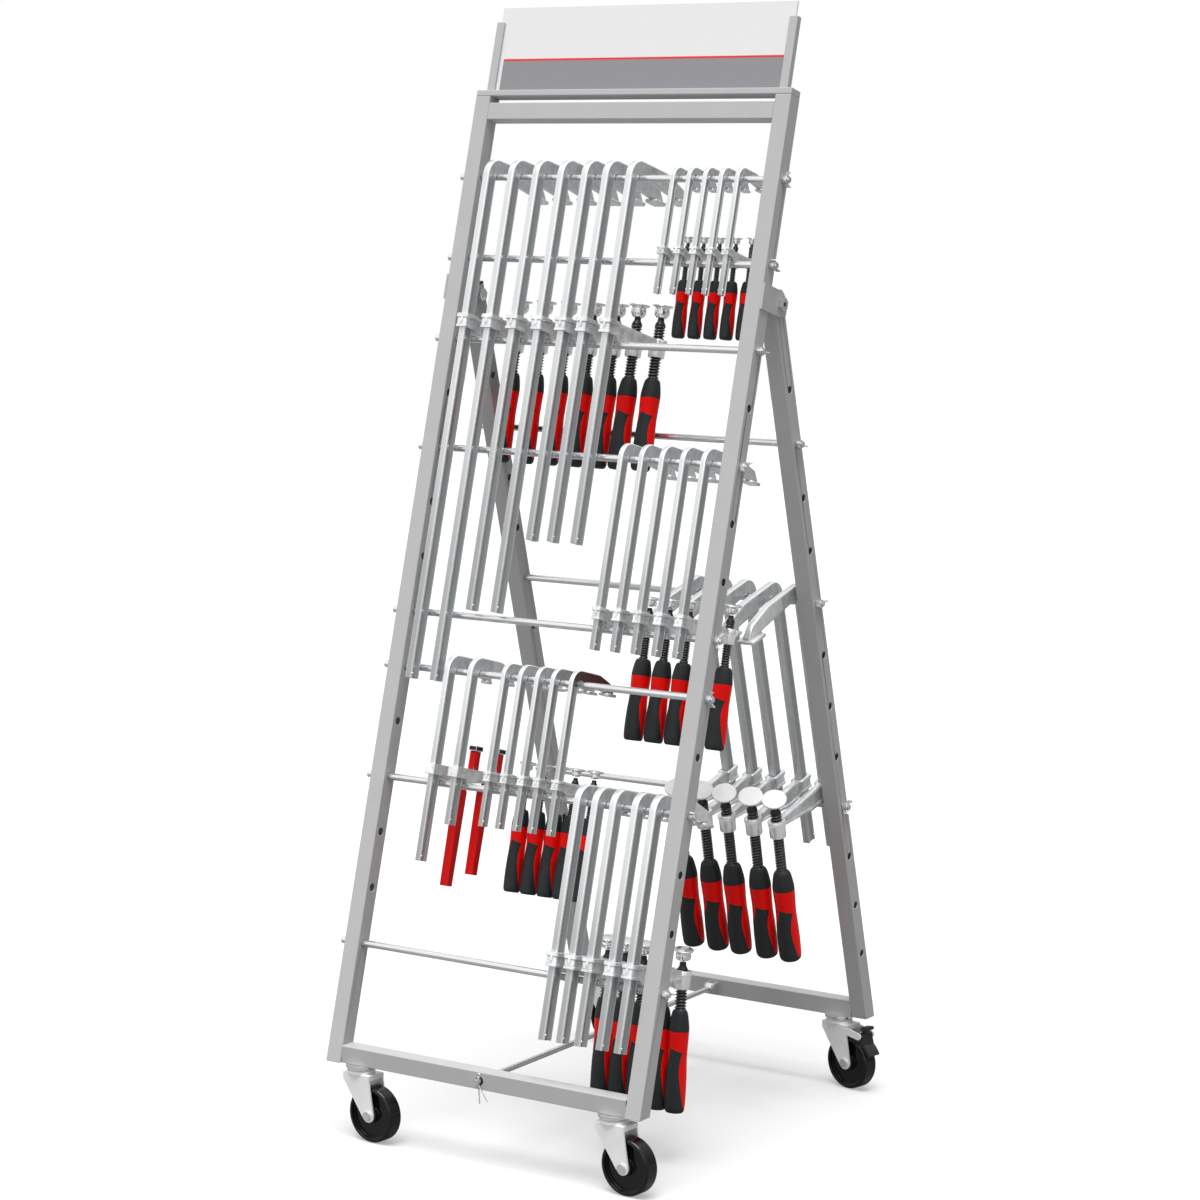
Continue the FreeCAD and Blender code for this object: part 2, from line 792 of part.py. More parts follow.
def bow_outline(inset_in, inset_out, low, jaw_points):
    """The rail's side outline: up the rail, round the rod in a quarter bend and out along the jaw."""
    inner = bow_radius + inset_in
    outer = bow_radius + inset_out
    middle = math.cos(math.pi / 4)
    edges = [Part.LineSegment(vector(0, -outer, low), vector(0, -outer, 0)).toShape(),
             Part.Arc(vector(0, -outer, 0), vector(0, -outer * middle, outer * middle),
                      vector(0, 0, outer)).toShape()]
    chain = [(0, outer)] + jaw_points + [(0, inner)]
    for start, end in zip(chain[:-1], chain[1:]):
        edges.append(Part.LineSegment(vector(0, *start), vector(0, *end)).toShape())
    edges.append(Part.Arc(vector(0, 0, inner), vector(0, -inner * middle, inner * middle),
                          vector(0, -inner, 0)).toShape())
    edges.append(Part.LineSegment(vector(0, -inner, 0), vector(0, -inner, low)).toShape())
    edges.append(Part.LineSegment(vector(0, -inner, low), vector(0, -outer, low)).toShape())
    return Part.Face(Part.Wire(edges))


def clamp_rail(clamp, rail_length):
    """A grooved rail hung over the rod, bent into the fixed jaw with its foot."""
    depth = clamp.depth
    half = clamp.thickness / 2
    low = bow_radius + depth - rail_length
    reach = clamp.throat - bow_radius
    foot = clamp.pad * foot_length_share / 2
    tip_top = bow_radius + depth * jaw_tip_share
    face = -depth * jaw_face_share
    foot_top = face + depth * jaw_foot_thickness_share
    straight = reach * jaw_straight_share
    jaw = [(straight, bow_radius + depth), (reach, tip_top), (reach + foot, foot_top), (reach + foot, face),
           (reach - foot, face), (reach - foot, foot_top)]
    body = bow_outline(0, depth, low, jaw).extrude(vector(clamp.thickness, 0, 0))
    body = moved(body, -half, 0, 0)
    foot_half = foot * foot_width_share
    plate = box(-foot_half, foot_half, reach - foot, reach + foot, face, foot_top)
    lip = depth * groove_lip_share
    cut_depth = clamp.thickness * groove_depth_share
    groove_jaw = [(straight, bow_radius + depth - lip), (reach - foot, tip_top - lip),
                  (reach - foot, foot_top + lip)]
    groove = bow_outline(lip, depth - lip, low - overrun, groove_jaw)
    for x0 in (-half - overrun, half - cut_depth):
        body = body.cut(moved(groove.extrude(vector(cut_depth + overrun, 0, 0)), x0, 0, 0))
    return body.fuse(plate).removeSplitter()


def collar_size(clamp):
    wall = clamp.thickness * collar_wall_share
    return wall, clamp.arm_height * collar_height_share


def spindle_direction(tilt):
    angle = math.radians(tilt)
    return vector(0, -math.sin(angle), math.cos(angle))


def sliding_arm(clamp, tilt):
    """A forged arm: collar round the rail, ribbed web and a threaded boss. S is zero at its underside."""
    wall, collar_height = collar_size(clamp)
    height = clamp.arm_height
    reach = clamp.throat - bow_radius
    back = -bow_radius - clamp.depth
    half_collar = clamp.thickness / 2 + slide_play + wall
    collar_t0 = back - slide_play - wall
    collar_t1 = -bow_radius + slide_play
    collar = box(-half_collar, half_collar, collar_t0, collar_t1 + wall, height - collar_height, height)
    half_web = clamp.thickness * arm_width_share / 2
    start = collar_t1
    boss_radius = clamp.spindle * boss_diameter_share / 2
    end_height = height * arm_end_height_share
    belly = start + clamp.depth * arm_belly_share
    web_outline = [(start, height - collar_height), (start, height), (reach, height),
                   (reach, height - end_height), (belly, 0), (start + clamp.depth * arm_root_share, 0)]
    web = prism(web_outline, -half_web, half_web)
    border = height * arm_border_share
    pocket_depth = half_web * arm_pocket_share
    low_edge = height - end_height + border
    pocket_start = start + border + wall
    pocket_outline = [(pocket_start, height - collar_height), (pocket_start, height - border),
                      (reach - boss_radius, height - border), (reach - boss_radius, low_edge),
                      (belly, border)]
    for x0, x1 in ((-half_web - overrun, pocket_depth - half_web),
                   (half_web - pocket_depth, half_web + overrun)):
        web = web.cut(prism(pocket_outline, x0, x1))
    direction = spindle_direction(tilt)
    centre = vector(0, reach, height)
    boss_length = height * boss_length_share
    boss_low = centre - direction * (boss_length - height * boss_rise_share)
    boss = Part.makeCylinder(boss_radius, boss_length, boss_low, direction)
    arm = collar.multiFuse([web, boss]).removeSplitter()
    half_slot = clamp.thickness / 2 + slide_play
    slot = box(-half_slot, half_slot, back - slide_play, -bow_radius + slide_play, -height, height * 2)
    bore_start = centre - direction * height * 2
    bore = Part.makeCylinder(clamp.spindle / 2 + spindle_play, height * 4, bore_start, direction)
    return arm.cut(slot).cut(bore)


def on_spindle(shape, clamp, tilt):
    """Turn a piece drawn on the Z axis onto the tilted spindle, its zero at the arm's top."""
    tilted = turned(shape, tilt, vector(0, 0, 0), vector(1, 0, 0))
    return moved(tilted, 0, clamp.throat - bow_radius, clamp.arm_height)


def spindle(clamp, row):
    radius = clamp.spindle / 2
    neck = radius * neck_share
    pad_height = clamp.pad * pad_height_share
    top = row.pad_rise - pad_height
    neck_length = radius
    profile = [(0, -row.handle_drop), (radius, -row.handle_drop), (radius, top - neck_length * 2),
               (neck, top - neck_length), (neck, top), (0, top)]
    return on_spindle(revolved(profile), clamp, row.tilt)


def swivel_pad(clamp, row):
    radius = clamp.pad / 2
    height = clamp.pad * pad_height_share
    low = row.pad_rise - height
    socket = radius * pad_socket_share
    profile = [(0, low), (socket, low), (socket, low + height * pad_socket_height_share),
               (radius, low + height * pad_rim_share), (radius, row.pad_rise), (0, row.pad_rise)]
    return on_spindle(revolved(profile), clamp, row.tilt)


def handle(clamp, row):
    """A grip: a cone cap under the spindle, a slight waist and a rounded lower end."""
    radius = clamp.handle_d / 2
    top = -row.handle_drop
    length = clamp.handle_l
    low = top - length
    rounding = radius * handle_end_round_share
    profile = [(0, low), (radius - rounding, low), (radius, low + rounding),
               (radius * handle_waist_share, low + length * handle_waist_place_share),
               (radius, top - length * handle_cap_share), (radius * handle_top_share, top), (0, top)]
    return on_spindle(revolved(profile), clamp, row.tilt)


def spaced(first, steps):
    """Places along X from the left post, as many as fit between the posts."""
    last_allowed = inner_half - large_rail_thickness
    places = [-half_width + first]
    for step in steps:
        places.append(places[-1] + step)
    return [x for x in places if x <= last_allowed]


def shared_steps(pitch, shares):
    return [pitch * share for share in shares]


large = Clamp(large_rail_depth, large_rail_thickness, large_throat, large_spindle, large_handle_diameter,
              large_handle_length, large_pad, large_arm_height)
deep = Clamp(large_rail_depth, large_rail_thickness, deep_throat, large_spindle, deep_handle_diameter,
             deep_handle_length, deep_pad, large_arm_height)
lower = Clamp(large_rail_depth, large_rail_thickness, large_throat, large_spindle, low_handle_diameter,
              low_handle_length, low_pad, large_arm_height)
medium = Clamp(medium_rail_depth, medium_rail_thickness, medium_throat, medium_spindle,
               medium_handle_diameter, medium_handle_length, medium_pad, medium_arm_height)
light = Clamp(light_rail_depth, light_rail_thickness, light_throat, light_spindle, light_handle_diameter,
              light_handle_length, light_pad, light_arm_height)
small = Clamp(small_rail_depth, small_rail_thickness, small_throat, small_spindle, small_handle_diameter,
              small_handle_length, small_pad, small_arm_height)


def make_rows():
    """The six rows: kind of clamp, places, rails, the rod they hang on and the rod their arms rest on."""
    heights = front_rod_heights()
    drops = back_rod_drops()
    short_rail_count = large_clamp_count - long_rail_count - middle_rail_count
    rails_1 = [long_rail] * long_rail_count + [middle_rail] * middle_rail_count
    rails_1 += [short_rail] * short_rail_count
    rails_6 = [row_6_short_rail] * (row_clamp_count - row_6_long_count)
    rails_6 += [row_6_long_rail] * row_6_long_count
    places_1 = spaced(row_1_inset, shared_steps(row_1_pitch, row_1_spacing_shares))
    places_2 = spaced(row_2_inset, [row_2_pitch] * (row_clamp_count - 1))
    places_3 = spaced(row_3_inset, [row_3_pitch] * (row_clamp_count - 1))
    places_4 = spaced(row_4_inset, shared_steps(row_4_pitch, row_4_spacing_shares))
    places_5 = spaced(row_5_inset, shared_steps(row_5_pitch, row_5_spacing_shares))
    places_6 = spaced(row_6_inset, shared_steps(row_6_pitch, row_6_spacing_shares))
    rise = rod_radius + rest_gap
    return {
        1: Row(large, places_1, rails_1, heights[0], heights[2] + rise, row_1_pad_rise,
               row_1_handle_drop, first_tilt),
        2: Row(small, places_2, [row_2_rail] * row_clamp_count, heights[0], heights[1] + rise, row_2_pad_rise,
               row_2_handle_drop, gentle_tilt),
        3: Row(medium, places_3, [row_3_rail] * row_clamp_count, heights[3], heights[4] + rise, row_3_pad_rise,
               row_3_handle_drop, slight_tilt),
        4: Row(light, places_4, [row_4_rail] * row_clamp_count, heights[5], heights[6] + rise, row_4_pad_rise,
               row_4_handle_drop, slight_tilt),
        5: Row(lower, places_5, [row_5_rail] * row_clamp_count, heights[6], heights[7] + rise, row_5_pad_rise,
               row_5_handle_drop, steep_tilt),
        6: Row(deep, places_6, rails_6, -drops[1], -drops[2] + rise, row_6_pad_rise,
               row_6_handle_drop, back_tilt),
    }


def in_row(shape, number, x, height):
    """Carry a clamp piece to its rod. On the back frame it faces the other way."""
    if number == 6:
        facing = turned(shape, 180, vector(0, 0, 0), vector(0, 0, 1))
        return on_back(moved(facing, x, 0, height))
    return on_front(moved(shape, x, rod_depth, height))


def row_nodes(number, row):
    rails = []
    arms = []
    screws = []
    handles = []
    arm = sliding_arm(row.clamp, row.tilt)
    screw = spindle(row.clamp, row)
    pad = swivel_pad(row.clamp, row)
    grip = handle(row.clamp, row)
    for x, rail_length in zip(row.places, row.rail_lengths):
        rails.append(in_row(clamp_rail(row.clamp, rail_length), number, x, row.hang))
        arms.append(in_row(arm, number, x, row.rest))
        screws.append(in_row(screw, number, x, row.rest))
        screws.append(in_row(pad, number, x, row.rest))
        handles.append(in_row(grip, number, x, row.rest))
    name = "row_%d_" % number
    return {name + "rails": rails, name + "arms": arms, name + "spindles": screws, name + "handles": handles}


lever_clamp = Clamp(lever_rail_depth, lever_rail_thickness, lever_throat, lever_pin, lever_depth,
                    lever_root, lever_depth, lever_arm_height)
lever_cheek = collar_size(lever_clamp)[0]
lever_hub_radius = lever_depth / 2 * lever_hub_share
lever_pivot_t = lever_throat * lever_place_share - bow_radius
lever_pivot_s = lever_arm_height - lever_cheek - lever_gap - lever_hub_radius


def lever_arm():
    """The sliding arm of a lever clamp, forked to its end for the lever, with the nose on top."""
    wall, collar_height = collar_size(lever_clamp)
    back = -bow_radius - lever_rail_depth
    half_collar = lever_rail_thickness / 2 + slide_play + wall
    start = -bow_radius + slide_play
    collar = box(-half_collar, half_collar, back - slide_play - wall, start + wall,
                 lever_arm_height - collar_height, lever_arm_height)
    reach = lever_throat - bow_radius
    half_web = lever_width / 2
    end = reach + nose_depth / 2
    web_outline = [(start, lever_arm_height - collar_height), (start, lever_arm_height),
                   (end, lever_arm_height), (end, lever_arm_height - lever_root),
                   (start + lever_rail_depth, 0), (start + lever_rail_depth / 2, 0)]
    web = prism(web_outline, -half_web, half_web)
    fork_half = half_web - wall
    lever_space = lever_depth / 2 + lever_gap
    slot = box(-fork_half, fork_half, lever_pivot_t - lever_space, end + overrun,
               -lever_arm_height, lever_arm_height - wall)
    pin = rod_along_x(lever_pin / 2, -half_web, half_web, lever_pivot_t, lever_pivot_s)
    arm = collar.fuse(web).removeSplitter().cut(slot).fuse(pin)
    half_slot = lever_rail_thickness / 2 + slide_play
    rail_slot = box(-half_slot, half_slot, back - slide_play, start, -lever_arm_height, lever_arm_height * 2)
    return arm.cut(rail_slot).removeSplitter()


def lever_nose():
    """The pressure piece on the arm's end and its cap."""
    reach = lever_throat - bow_radius
    half = nose_depth / 2
    top = lever_arm_height + nose_height - nose_cap_height
    half_top = half * nose_top_share
    half_nose = half * nose_width_share
    outline = [(reach - half, lever_arm_height), (reach + half, lever_arm_height), (reach + half_top, top),
               (reach - half_top, top)]
    nose = prism(outline, -half_nose, half_nose)
    cap_half = half * nose_cap_share
    cap = box(-half, half, reach - cap_half, reach + cap_half, top, top + nose_cap_height)
    return [nose, cap]


def lever_handle(length):
    """A lever that hangs from the arm's pin, parallel to the rail. Its shoulder slopes to clear the arm."""
    half = lever_width / 2 - lever_cheek - lever_gap
    half_depth = lever_depth / 2
    grip_top = -lever_gap
    low = lever_arm_height - length
    hub = rod_along_x(lever_hub_radius, -half, half, lever_pivot_t, lever_pivot_s)
    shoulder = half_depth * lever_shoulder_share
    neck = box(-half, half, lever_pivot_t - lever_hub_radius, lever_pivot_t + lever_hub_radius,
               grip_top - shoulder, lever_pivot_s)
    taper = half_depth * lever_taper_share
    outline = [(lever_pivot_t - half_depth, grip_top), (lever_pivot_t, grip_top),
               (lever_pivot_t + half_depth, grip_top - shoulder), (lever_pivot_t + half_depth - taper, low),
               (lever_pivot_t - half_depth + taper, low)]
    grip = prism(outline, -lever_width / 2, lever_width / 2)
    body = hub.multiFuse([neck, grip]).removeSplitter()
    hole = lever_pin / 2 + hinge_bolt_play
    return body.cut(rod_along_x(hole, -lever_width, lever_width, lever_pivot_t, lever_pivot_s))


def lever_nodes(row):
    rails = []
    arms = []
    levers = []
    for index in range(len(lever_lengths)):
        x = -half_width + lever_inset + index * lever_pitch
        rails.append(in_row(clamp_rail(lever_clamp, lever_rail_lengths[index]), 4, x, row.hang))
        arms.append(in_row(lever_arm(), 4, x, row.rest))
        arms.extend(in_row(piece, 4, x, row.rest) for piece in lever_nose())
        levers.append(in_row(lever_handle(lever_lengths[index]), 4, x, row.rest))
    return rails, arms, levers


def frame_nodes():
    heights = front_rod_heights()
    drops = back_rod_drops()
    back_width = half_width - side_play
    front_rods = [on_front(cross_rod(half_width, rod_depth, s)) for s in heights]
    front_nuts = [on_front(wing_nut(half_width, rod_depth, s, wing_turn(i))) for i, s in enumerate(heights)]
    back_rods = [on_back(cross_rod(back_width, 0, -s)) for s in drops]
    back_nuts = [on_back(wing_nut(back_width, 0, -s, wing_turn(i + 1))) for i, s in enumerate(drops)]
    heads = [placed_caster(caster_head(), x, y, turn) for name, x, y, turn in caster_places()]
    return {
        "front_left_post": [front_post(-1)],
        "front_right_post": [front_post(1)],
        "front_top_rail": [front_top_rail()],
        "front_bottom_rail": [front_bottom_rail()],
        "sign_holder": [sign_holder()],
        "sign_board": [sign_board()],
        "hinge_brackets": [hinge_bracket(-1), hinge_bracket(1)],
        "hinge_bolts": [hinge_bolt(-1), hinge_bolt(1)],
        "front_rods": front_rods,
        "front_wing_nuts": front_nuts,
        "front_caster_heads": heads[:2],
        "back_left_post": [back_post(-1)],
        "back_right_post": [back_post(1)],
        "back_bottom_rail": [back_bottom_rail().fuse(spreader_ears())],
        "back_rods": back_rods,
        "back_wing_nuts": back_nuts,
        "back_post_plugs": post_plugs(),
        "back_caster_heads": heads[2:],
        "spreader_rod": [spreader_rod()],
        "spreader_clip": [spreader_clip()],
    }


def caster_nodes():
    nodes = {}
    for name, x, y, turn in caster_places():
        braked = name.startswith("back")
        nodes[name + "_fork"] = [placed_caster(caster_fork(braked), x, y, turn)]
        nodes[name + "_wheel"] = [placed_caster(wheel(), x, y, turn)]
        nodes[name + "_axle"] = [placed_caster(axle(), x, y, turn)]
        if braked:
            nodes[name + "_brake"] = [placed_caster(brake(), x, y, turn)]
    return nodes


def all_nodes():
    nodes = frame_nodes()
    nodes.update(caster_nodes())
    rows = make_rows()
    for number, row in rows.items():
        nodes.update(row_nodes(number, row))
    rails, arms, levers = lever_nodes(rows[4])
    nodes["row_4_rails"].extend(rails)
    nodes["lever_arms"] = arms
    nodes["lever_handles"] = levers
    return nodes


def model_shift(nodes):
    """The origin is the middle of the floor area that the cart covers."""
    bounds = Part.makeCompound([shape for shapes in nodes.values() for shape in shapes]).BoundBox
    return vector(-bounds.Center.x, -bounds.Center.y, -bounds.ZMin)


nodes = all_nodes()
shift = model_shift(nodes)
os.makedirs("parts", exist_ok=True)
for name, shapes in nodes.items():
    compound = Part.makeCompound(shapes)
    compound.translate(shift)
    compound.exportStep("parts/" + name + ".step")
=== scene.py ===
import bpy
import math
from mathutils import Matrix, Vector, noise


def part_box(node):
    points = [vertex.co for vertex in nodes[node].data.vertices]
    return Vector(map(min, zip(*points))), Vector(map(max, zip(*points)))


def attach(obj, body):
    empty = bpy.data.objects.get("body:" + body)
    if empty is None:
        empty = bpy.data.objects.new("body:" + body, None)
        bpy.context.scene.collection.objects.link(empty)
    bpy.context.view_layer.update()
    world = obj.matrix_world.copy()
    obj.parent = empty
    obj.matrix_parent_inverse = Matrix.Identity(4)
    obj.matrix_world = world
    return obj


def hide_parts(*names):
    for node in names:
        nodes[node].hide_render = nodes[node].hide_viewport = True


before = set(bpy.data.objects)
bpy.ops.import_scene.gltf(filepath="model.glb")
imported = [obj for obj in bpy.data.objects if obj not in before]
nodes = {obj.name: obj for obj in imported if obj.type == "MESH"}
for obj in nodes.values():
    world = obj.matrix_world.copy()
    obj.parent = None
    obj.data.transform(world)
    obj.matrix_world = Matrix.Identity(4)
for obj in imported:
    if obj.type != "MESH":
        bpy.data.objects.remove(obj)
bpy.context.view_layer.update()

# The looks of the clamp cart. Lengths are in millimetres and scaled by MM on the way into a mesh.
# The front and back frames are drawn upright, with X, T (depth) and S (height), and then leaned.

MM = 0.001

# The cart's own measures: both frames' lean from upright, the height of the front posts' feet, half the
# width over the posts, the rods' axis behind the posts' front, the inner radius of a hung rail's bend and
# the hinge's axis
LEAN = math.radians(15.25)
CASTER_HEIGHT = 108.0
HALF_WIDTH = 265.0
ROD_DEPTH = 12.5
BOW = 5.3
HINGE_Y = 345.0264
HINGE_Z = 1181.5498


def model_shift():
    """Where the CAD put the middle of the cart, read off two nodes whose places are known."""
    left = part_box("front_left_post")[0]
    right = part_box("front_right_post")[1]
    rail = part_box("front_bottom_rail")
    rail_y = ROD_DEPTH / math.cos(LEAN) + ROD_DEPTH * math.tan(LEAN)
    return Vector(((left.x + right.x) / 2 / MM, (rail[0].y + rail[1].y) / 2 / MM - rail_y, 0))


SHIFT = model_shift()
FRONT = Matrix.Translation(SHIFT + Vector((0, 0, CASTER_HEIGHT))) @ Matrix.Rotation(-LEAN, 4, "X")
BACK = Matrix.Translation(SHIFT + Vector((0, HINGE_Y, HINGE_Z))) @ Matrix.Rotation(LEAN, 4, "X")
TURN_BACK = Matrix.Rotation(math.pi, 4, "Z")


# Kinds of clamp: rail depth and thickness, throat, spindle, grip diameter and length, pad, arm height
LARGE = dict(depth=20.0, thick=10.5, throat=120.0, spindle=16.0, grip_d=29.6, grip_l=133.0, pad=27.0,
             arm=27.0)
DEEP = dict(LARGE, throat=132.0, grip_d=32.5, grip_l=139.0, pad=36.0)
LOWER = dict(LARGE, grip_d=28.8, grip_l=143.0, pad=25.0)
MEDIUM = dict(depth=17.0, thick=8.0, throat=118.0, spindle=13.0, grip_d=28.6, grip_l=116.0, pad=24.0,
              arm=23.0)
LIGHT = dict(depth=15.0, thick=7.0, throat=82.0, spindle=11.0, grip_d=25.2, grip_l=118.0, pad=22.0,
             arm=19.0)
SMALL = dict(depth=11.0, thick=7.0, throat=57.0, spindle=8.0, grip_d=19.5, grip_l=82.0, pad=15.0,
             arm=14.0)
BACK_ROW = 6
LEVER_ROW = 4


def spaced(first, steps):
    """Places across the cart, from the first clamp's distance to the left side and the steps after it."""
    places = [-HALF_WIDTH + first]
    for step in steps:
        places.append(places[-1] + step)
    return places


# Rows: the clamps' places and rail lengths, the heights of the rod they hang on and of the arms' undersides,
# the pads' rise and the grips' drop from the arms' tops, and the spindles' tilt in degrees
ROWS = {
    1: dict(clamp=LARGE, x=spaced(48.0, [43.05, 43.05, 43.05, 41.0, 35.26, 39.77]),
            rails=[763.0] * 2 + [658.0] * 2 + [552.0] * 3, hang=1292.0, rest=1057.5,
            pad=51.0, drop=57.0, tilt=1.0),
    2: dict(clamp=SMALL, x=spaced(360.5, [26.2] * 4), rails=[183.0] * 5, hang=1292.0, rest=1177.5,
            pad=30.0, drop=32.0, tilt=4.0),
    3: dict(clamp=MEDIUM, x=spaced(348.0, [33.5] * 4), rails=[293.0] * 5, hang=892.0, rest=657.5,
            pad=34.0, drop=54.0, tilt=2.0),
    4: dict(clamp=LIGHT, x=spaced(207.0, [28.5, 28.5, 26.22, 31.35]), rails=[233.0] * 5, hang=572.0,
            rest=417.5, pad=23.0, drop=44.0, tilt=2.0),
    5: dict(clamp=LOWER, x=spaced(363.0, [29.28, 29.28, 35.075, 29.28]), rails=[353.0] * 5, hang=412.0,
            rest=177.5, pad=30.0, drop=55.0, tilt=9.5),
    6: dict(clamp=DEEP, x=spaced(329.0, [42.024, 39.14, 44.084, 39.14]), rails=[350.0] * 3 + [417.0] * 2,
            hang=-444.0, rest=-758.5, pad=42.0, drop=79.0, tilt=3.0),
}


def clamp_matrix(number, x, s):
    """From a clamp's own axes, T away from its rail and S up, to the part's frame."""
    if number == BACK_ROW:
        return BACK @ Matrix.Translation((x, 0, s)) @ TURN_BACK
    return FRONT @ Matrix.Translation((x, ROD_DEPTH, s))


def spindle_matrix(number, row, x):
    """From the spindle's axis, zero at the arm's top and Z up, to the part's frame."""
    clamp = row["clamp"]
    seat = Matrix.Translation((0, clamp["throat"] - BOW, clamp["arm"]))
    return clamp_matrix(number, x, row["rest"]) @ seat @ Matrix.Rotation(math.radians(row["tilt"]), 4, "X")


class Shape:
    """Points in millimetres and faces with a material number each, gathered into one mesh."""

    def __init__(self):
        self.points = []
        self.faces = []
        self.slots = []

    def add(self, points, faces, matrix, slots=0):
        start = len(self.points)
        self.points.extend(matrix @ Vector(p) for p in points)
        for index, face in enumerate(faces):
            self.faces.append([start + k for k in face])
            self.slots.append(slots[index] if isinstance(slots, list) else slots)

    def piece(self, name, body, materials, replaced=(), slot=None, sharp=35.0):
        mesh = bpy.data.meshes.new(name)
        mesh.from_pydata([p * MM for p in self.points], [], self.faces)
        mesh.validate()
        for material in materials:
            mesh.materials.append(material)
        mesh.polygons.foreach_set("material_index", self.slots)
        mesh.shade_smooth()
        mesh.set_sharp_from_angle(angle=math.radians(sharp))
        mesh.update()
        obj = bpy.data.objects.new(name, mesh)
        bpy.context.scene.collection.objects.link(obj)
        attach(obj, body)
        if replaced:
            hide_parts(*replaced)


def lathe(profile, sides):
    """Rings of (radius, height) about Z, closed by fans where the radius is zero."""
    points, faces, rings = [], [], []
    for radius, height in profile:
        if radius <= 0:
            rings.append([len(points)])
            points.append((0, 0, height))
            continue
        rings.append(list(range(len(points), len(points) + sides)))
        for k in range(sides):
            angle = 2 * math.pi * k / sides
            points.append((radius * math.cos(angle), radius * math.sin(angle), height))
    for low, high in zip(rings[:-1], rings[1:]):
        for k in range(sides):
            n = (k + 1) % sides
            if len(low) == 1 and len(high) == 1:
                continue
            if len(low) == 1:
                face = [low[0], high[n], high[k]]
            elif len(high) == 1:
                face = [low[k], low[n], high[0]]
            else:
                face = [low[k], low[n], high[n], high[k]]
            faces.append(face)
    return points, faces


# An arc takes up this share of the shorter line beside its corner, at most
ARC_SHARE = 0.45
ARC_STEPS = 3


def smooth_profile(corners, rounding):
    """Round the inner corners of a (radius, height) line with short arcs."""
    out = [corners[0]]
    for before, corner, after in zip(corners[:-2], corners[1:-1], corners[2:]):
        a, b, c = Vector(before), Vector(corner), Vector(after)
        reach = min(rounding, (a - b).length * ARC_SHARE, (c - b).length * ARC_SHARE)
        start = b + (a - b).normalized() * reach
        end = b + (c - b).normalized() * reach
        for k in range(ARC_STEPS + 1):
            w = k / ARC_STEPS
            p = start * (1 - w) ** 2 + b * 2 * w * (1 - w) + end * w ** 2
            out.append((p.x, p.y))
    out.append(corners[-1])
    return out


# Materials
def new_material(name):
    material = bpy.data.materials.new(name)
    material.use_nodes = True
    tree = material.node_tree
    return material, tree, tree.nodes["Principled BSDF"]


def place_coordinates(tree, stretch, lean):
    """Object coordinates turned upright and stretched along the piece."""
    coordinates = tree.nodes.new("ShaderNodeTexCoord")
    mapping = tree.nodes.new("ShaderNodeMapping")
    mapping.vector_type = "TEXTURE"
    mapping.inputs["Scale"].default_value = stretch
    mapping.inputs["Rotation"].default_value = (lean, 0, 0)
    tree.links.new(coordinates.outputs["Object"], mapping.inputs["Vector"])
    return mapping.outputs["Vector"]


DRIFT_DETAIL = 3.0
GRIT_DETAIL = 2.0
NOISE_ROUGHNESS = 0.5
TONE_STOPS = (0.3, 0.7)


def noise_node(tree, vector, scale, detail):
    node = tree.nodes.new("ShaderNodeTexNoise")
    node.inputs["Scale"].default_value = scale
    node.inputs["Detail"].default_value = detail
    node.inputs["Roughness"].default_value = NOISE_ROUGHNESS
    tree.links.new(vector, node.inputs["Vector"])
    return node.outputs["Fac"]


def ramp(tree, value, colours):
    """Two colours, mixed by a noise's value."""
    node = tree.nodes.new("ShaderNodeValToRGB")
    for element, place, colour in zip(node.color_ramp.elements, TONE_STOPS, colours):
        element.position = place
        element.color = (*colour, 1.0)
    tree.links.new(value, node.inputs["Fac"])
    return node.outputs["Color"]


def spread(tree, value, low, high):
    node = tree.nodes.new("ShaderNodeMapRange")
    node.inputs["To Min"].default_value = low
    node.inputs["To Max"].default_value = high
    tree.links.new(value, node.inputs["Value"])
    return node.outputs["Result"]


def bumped(tree, shader, value, strength, distance):
    node = tree.nodes.new("ShaderNodeBump")
    node.inputs["Strength"].default_value = strength
    node.inputs["Distance"].default_value = distance
    tree.links.new(value, node.inputs["Height"])
    tree.links.new(node.outputs["Normal"], shader.inputs["Normal"])


def shade(colour, factor):
    return tuple(min(1.0, c * factor) for c in colour)


def surface(name, colour, metallic, rough, varied=0.06, grain=(1, 1, 1), lean=0.0, coarse=60.0, fine=900.0,
            bump=0.15, bump_distance=0.0002, specular=0.5):
    """A finish whose tone drifts over the piece, with a fine grain in its gloss and relief."""
    material, tree, shader = new_material(name)
    vector = place_coordinates(tree, grain, lean)
    drift = noise_node(tree, vector, coarse, DRIFT_DETAIL)
    grit = noise_node(tree, vector, fine, GRIT_DETAIL)
    tone = ramp(tree, drift, (shade(colour, 1 - varied), shade(colour, 1 + varied)))
    tree.links.new(tone, shader.inputs["Base Color"])
    tree.links.new(spread(tree, grit, rough[0], rough[1]), shader.inputs["Roughness"])
    shader.inputs["Metallic"].default_value = metallic
    shader.inputs["Specular IOR Level"].default_value = specular
    bumped(tree, shader, grit, bump, bump_distance)
    return material


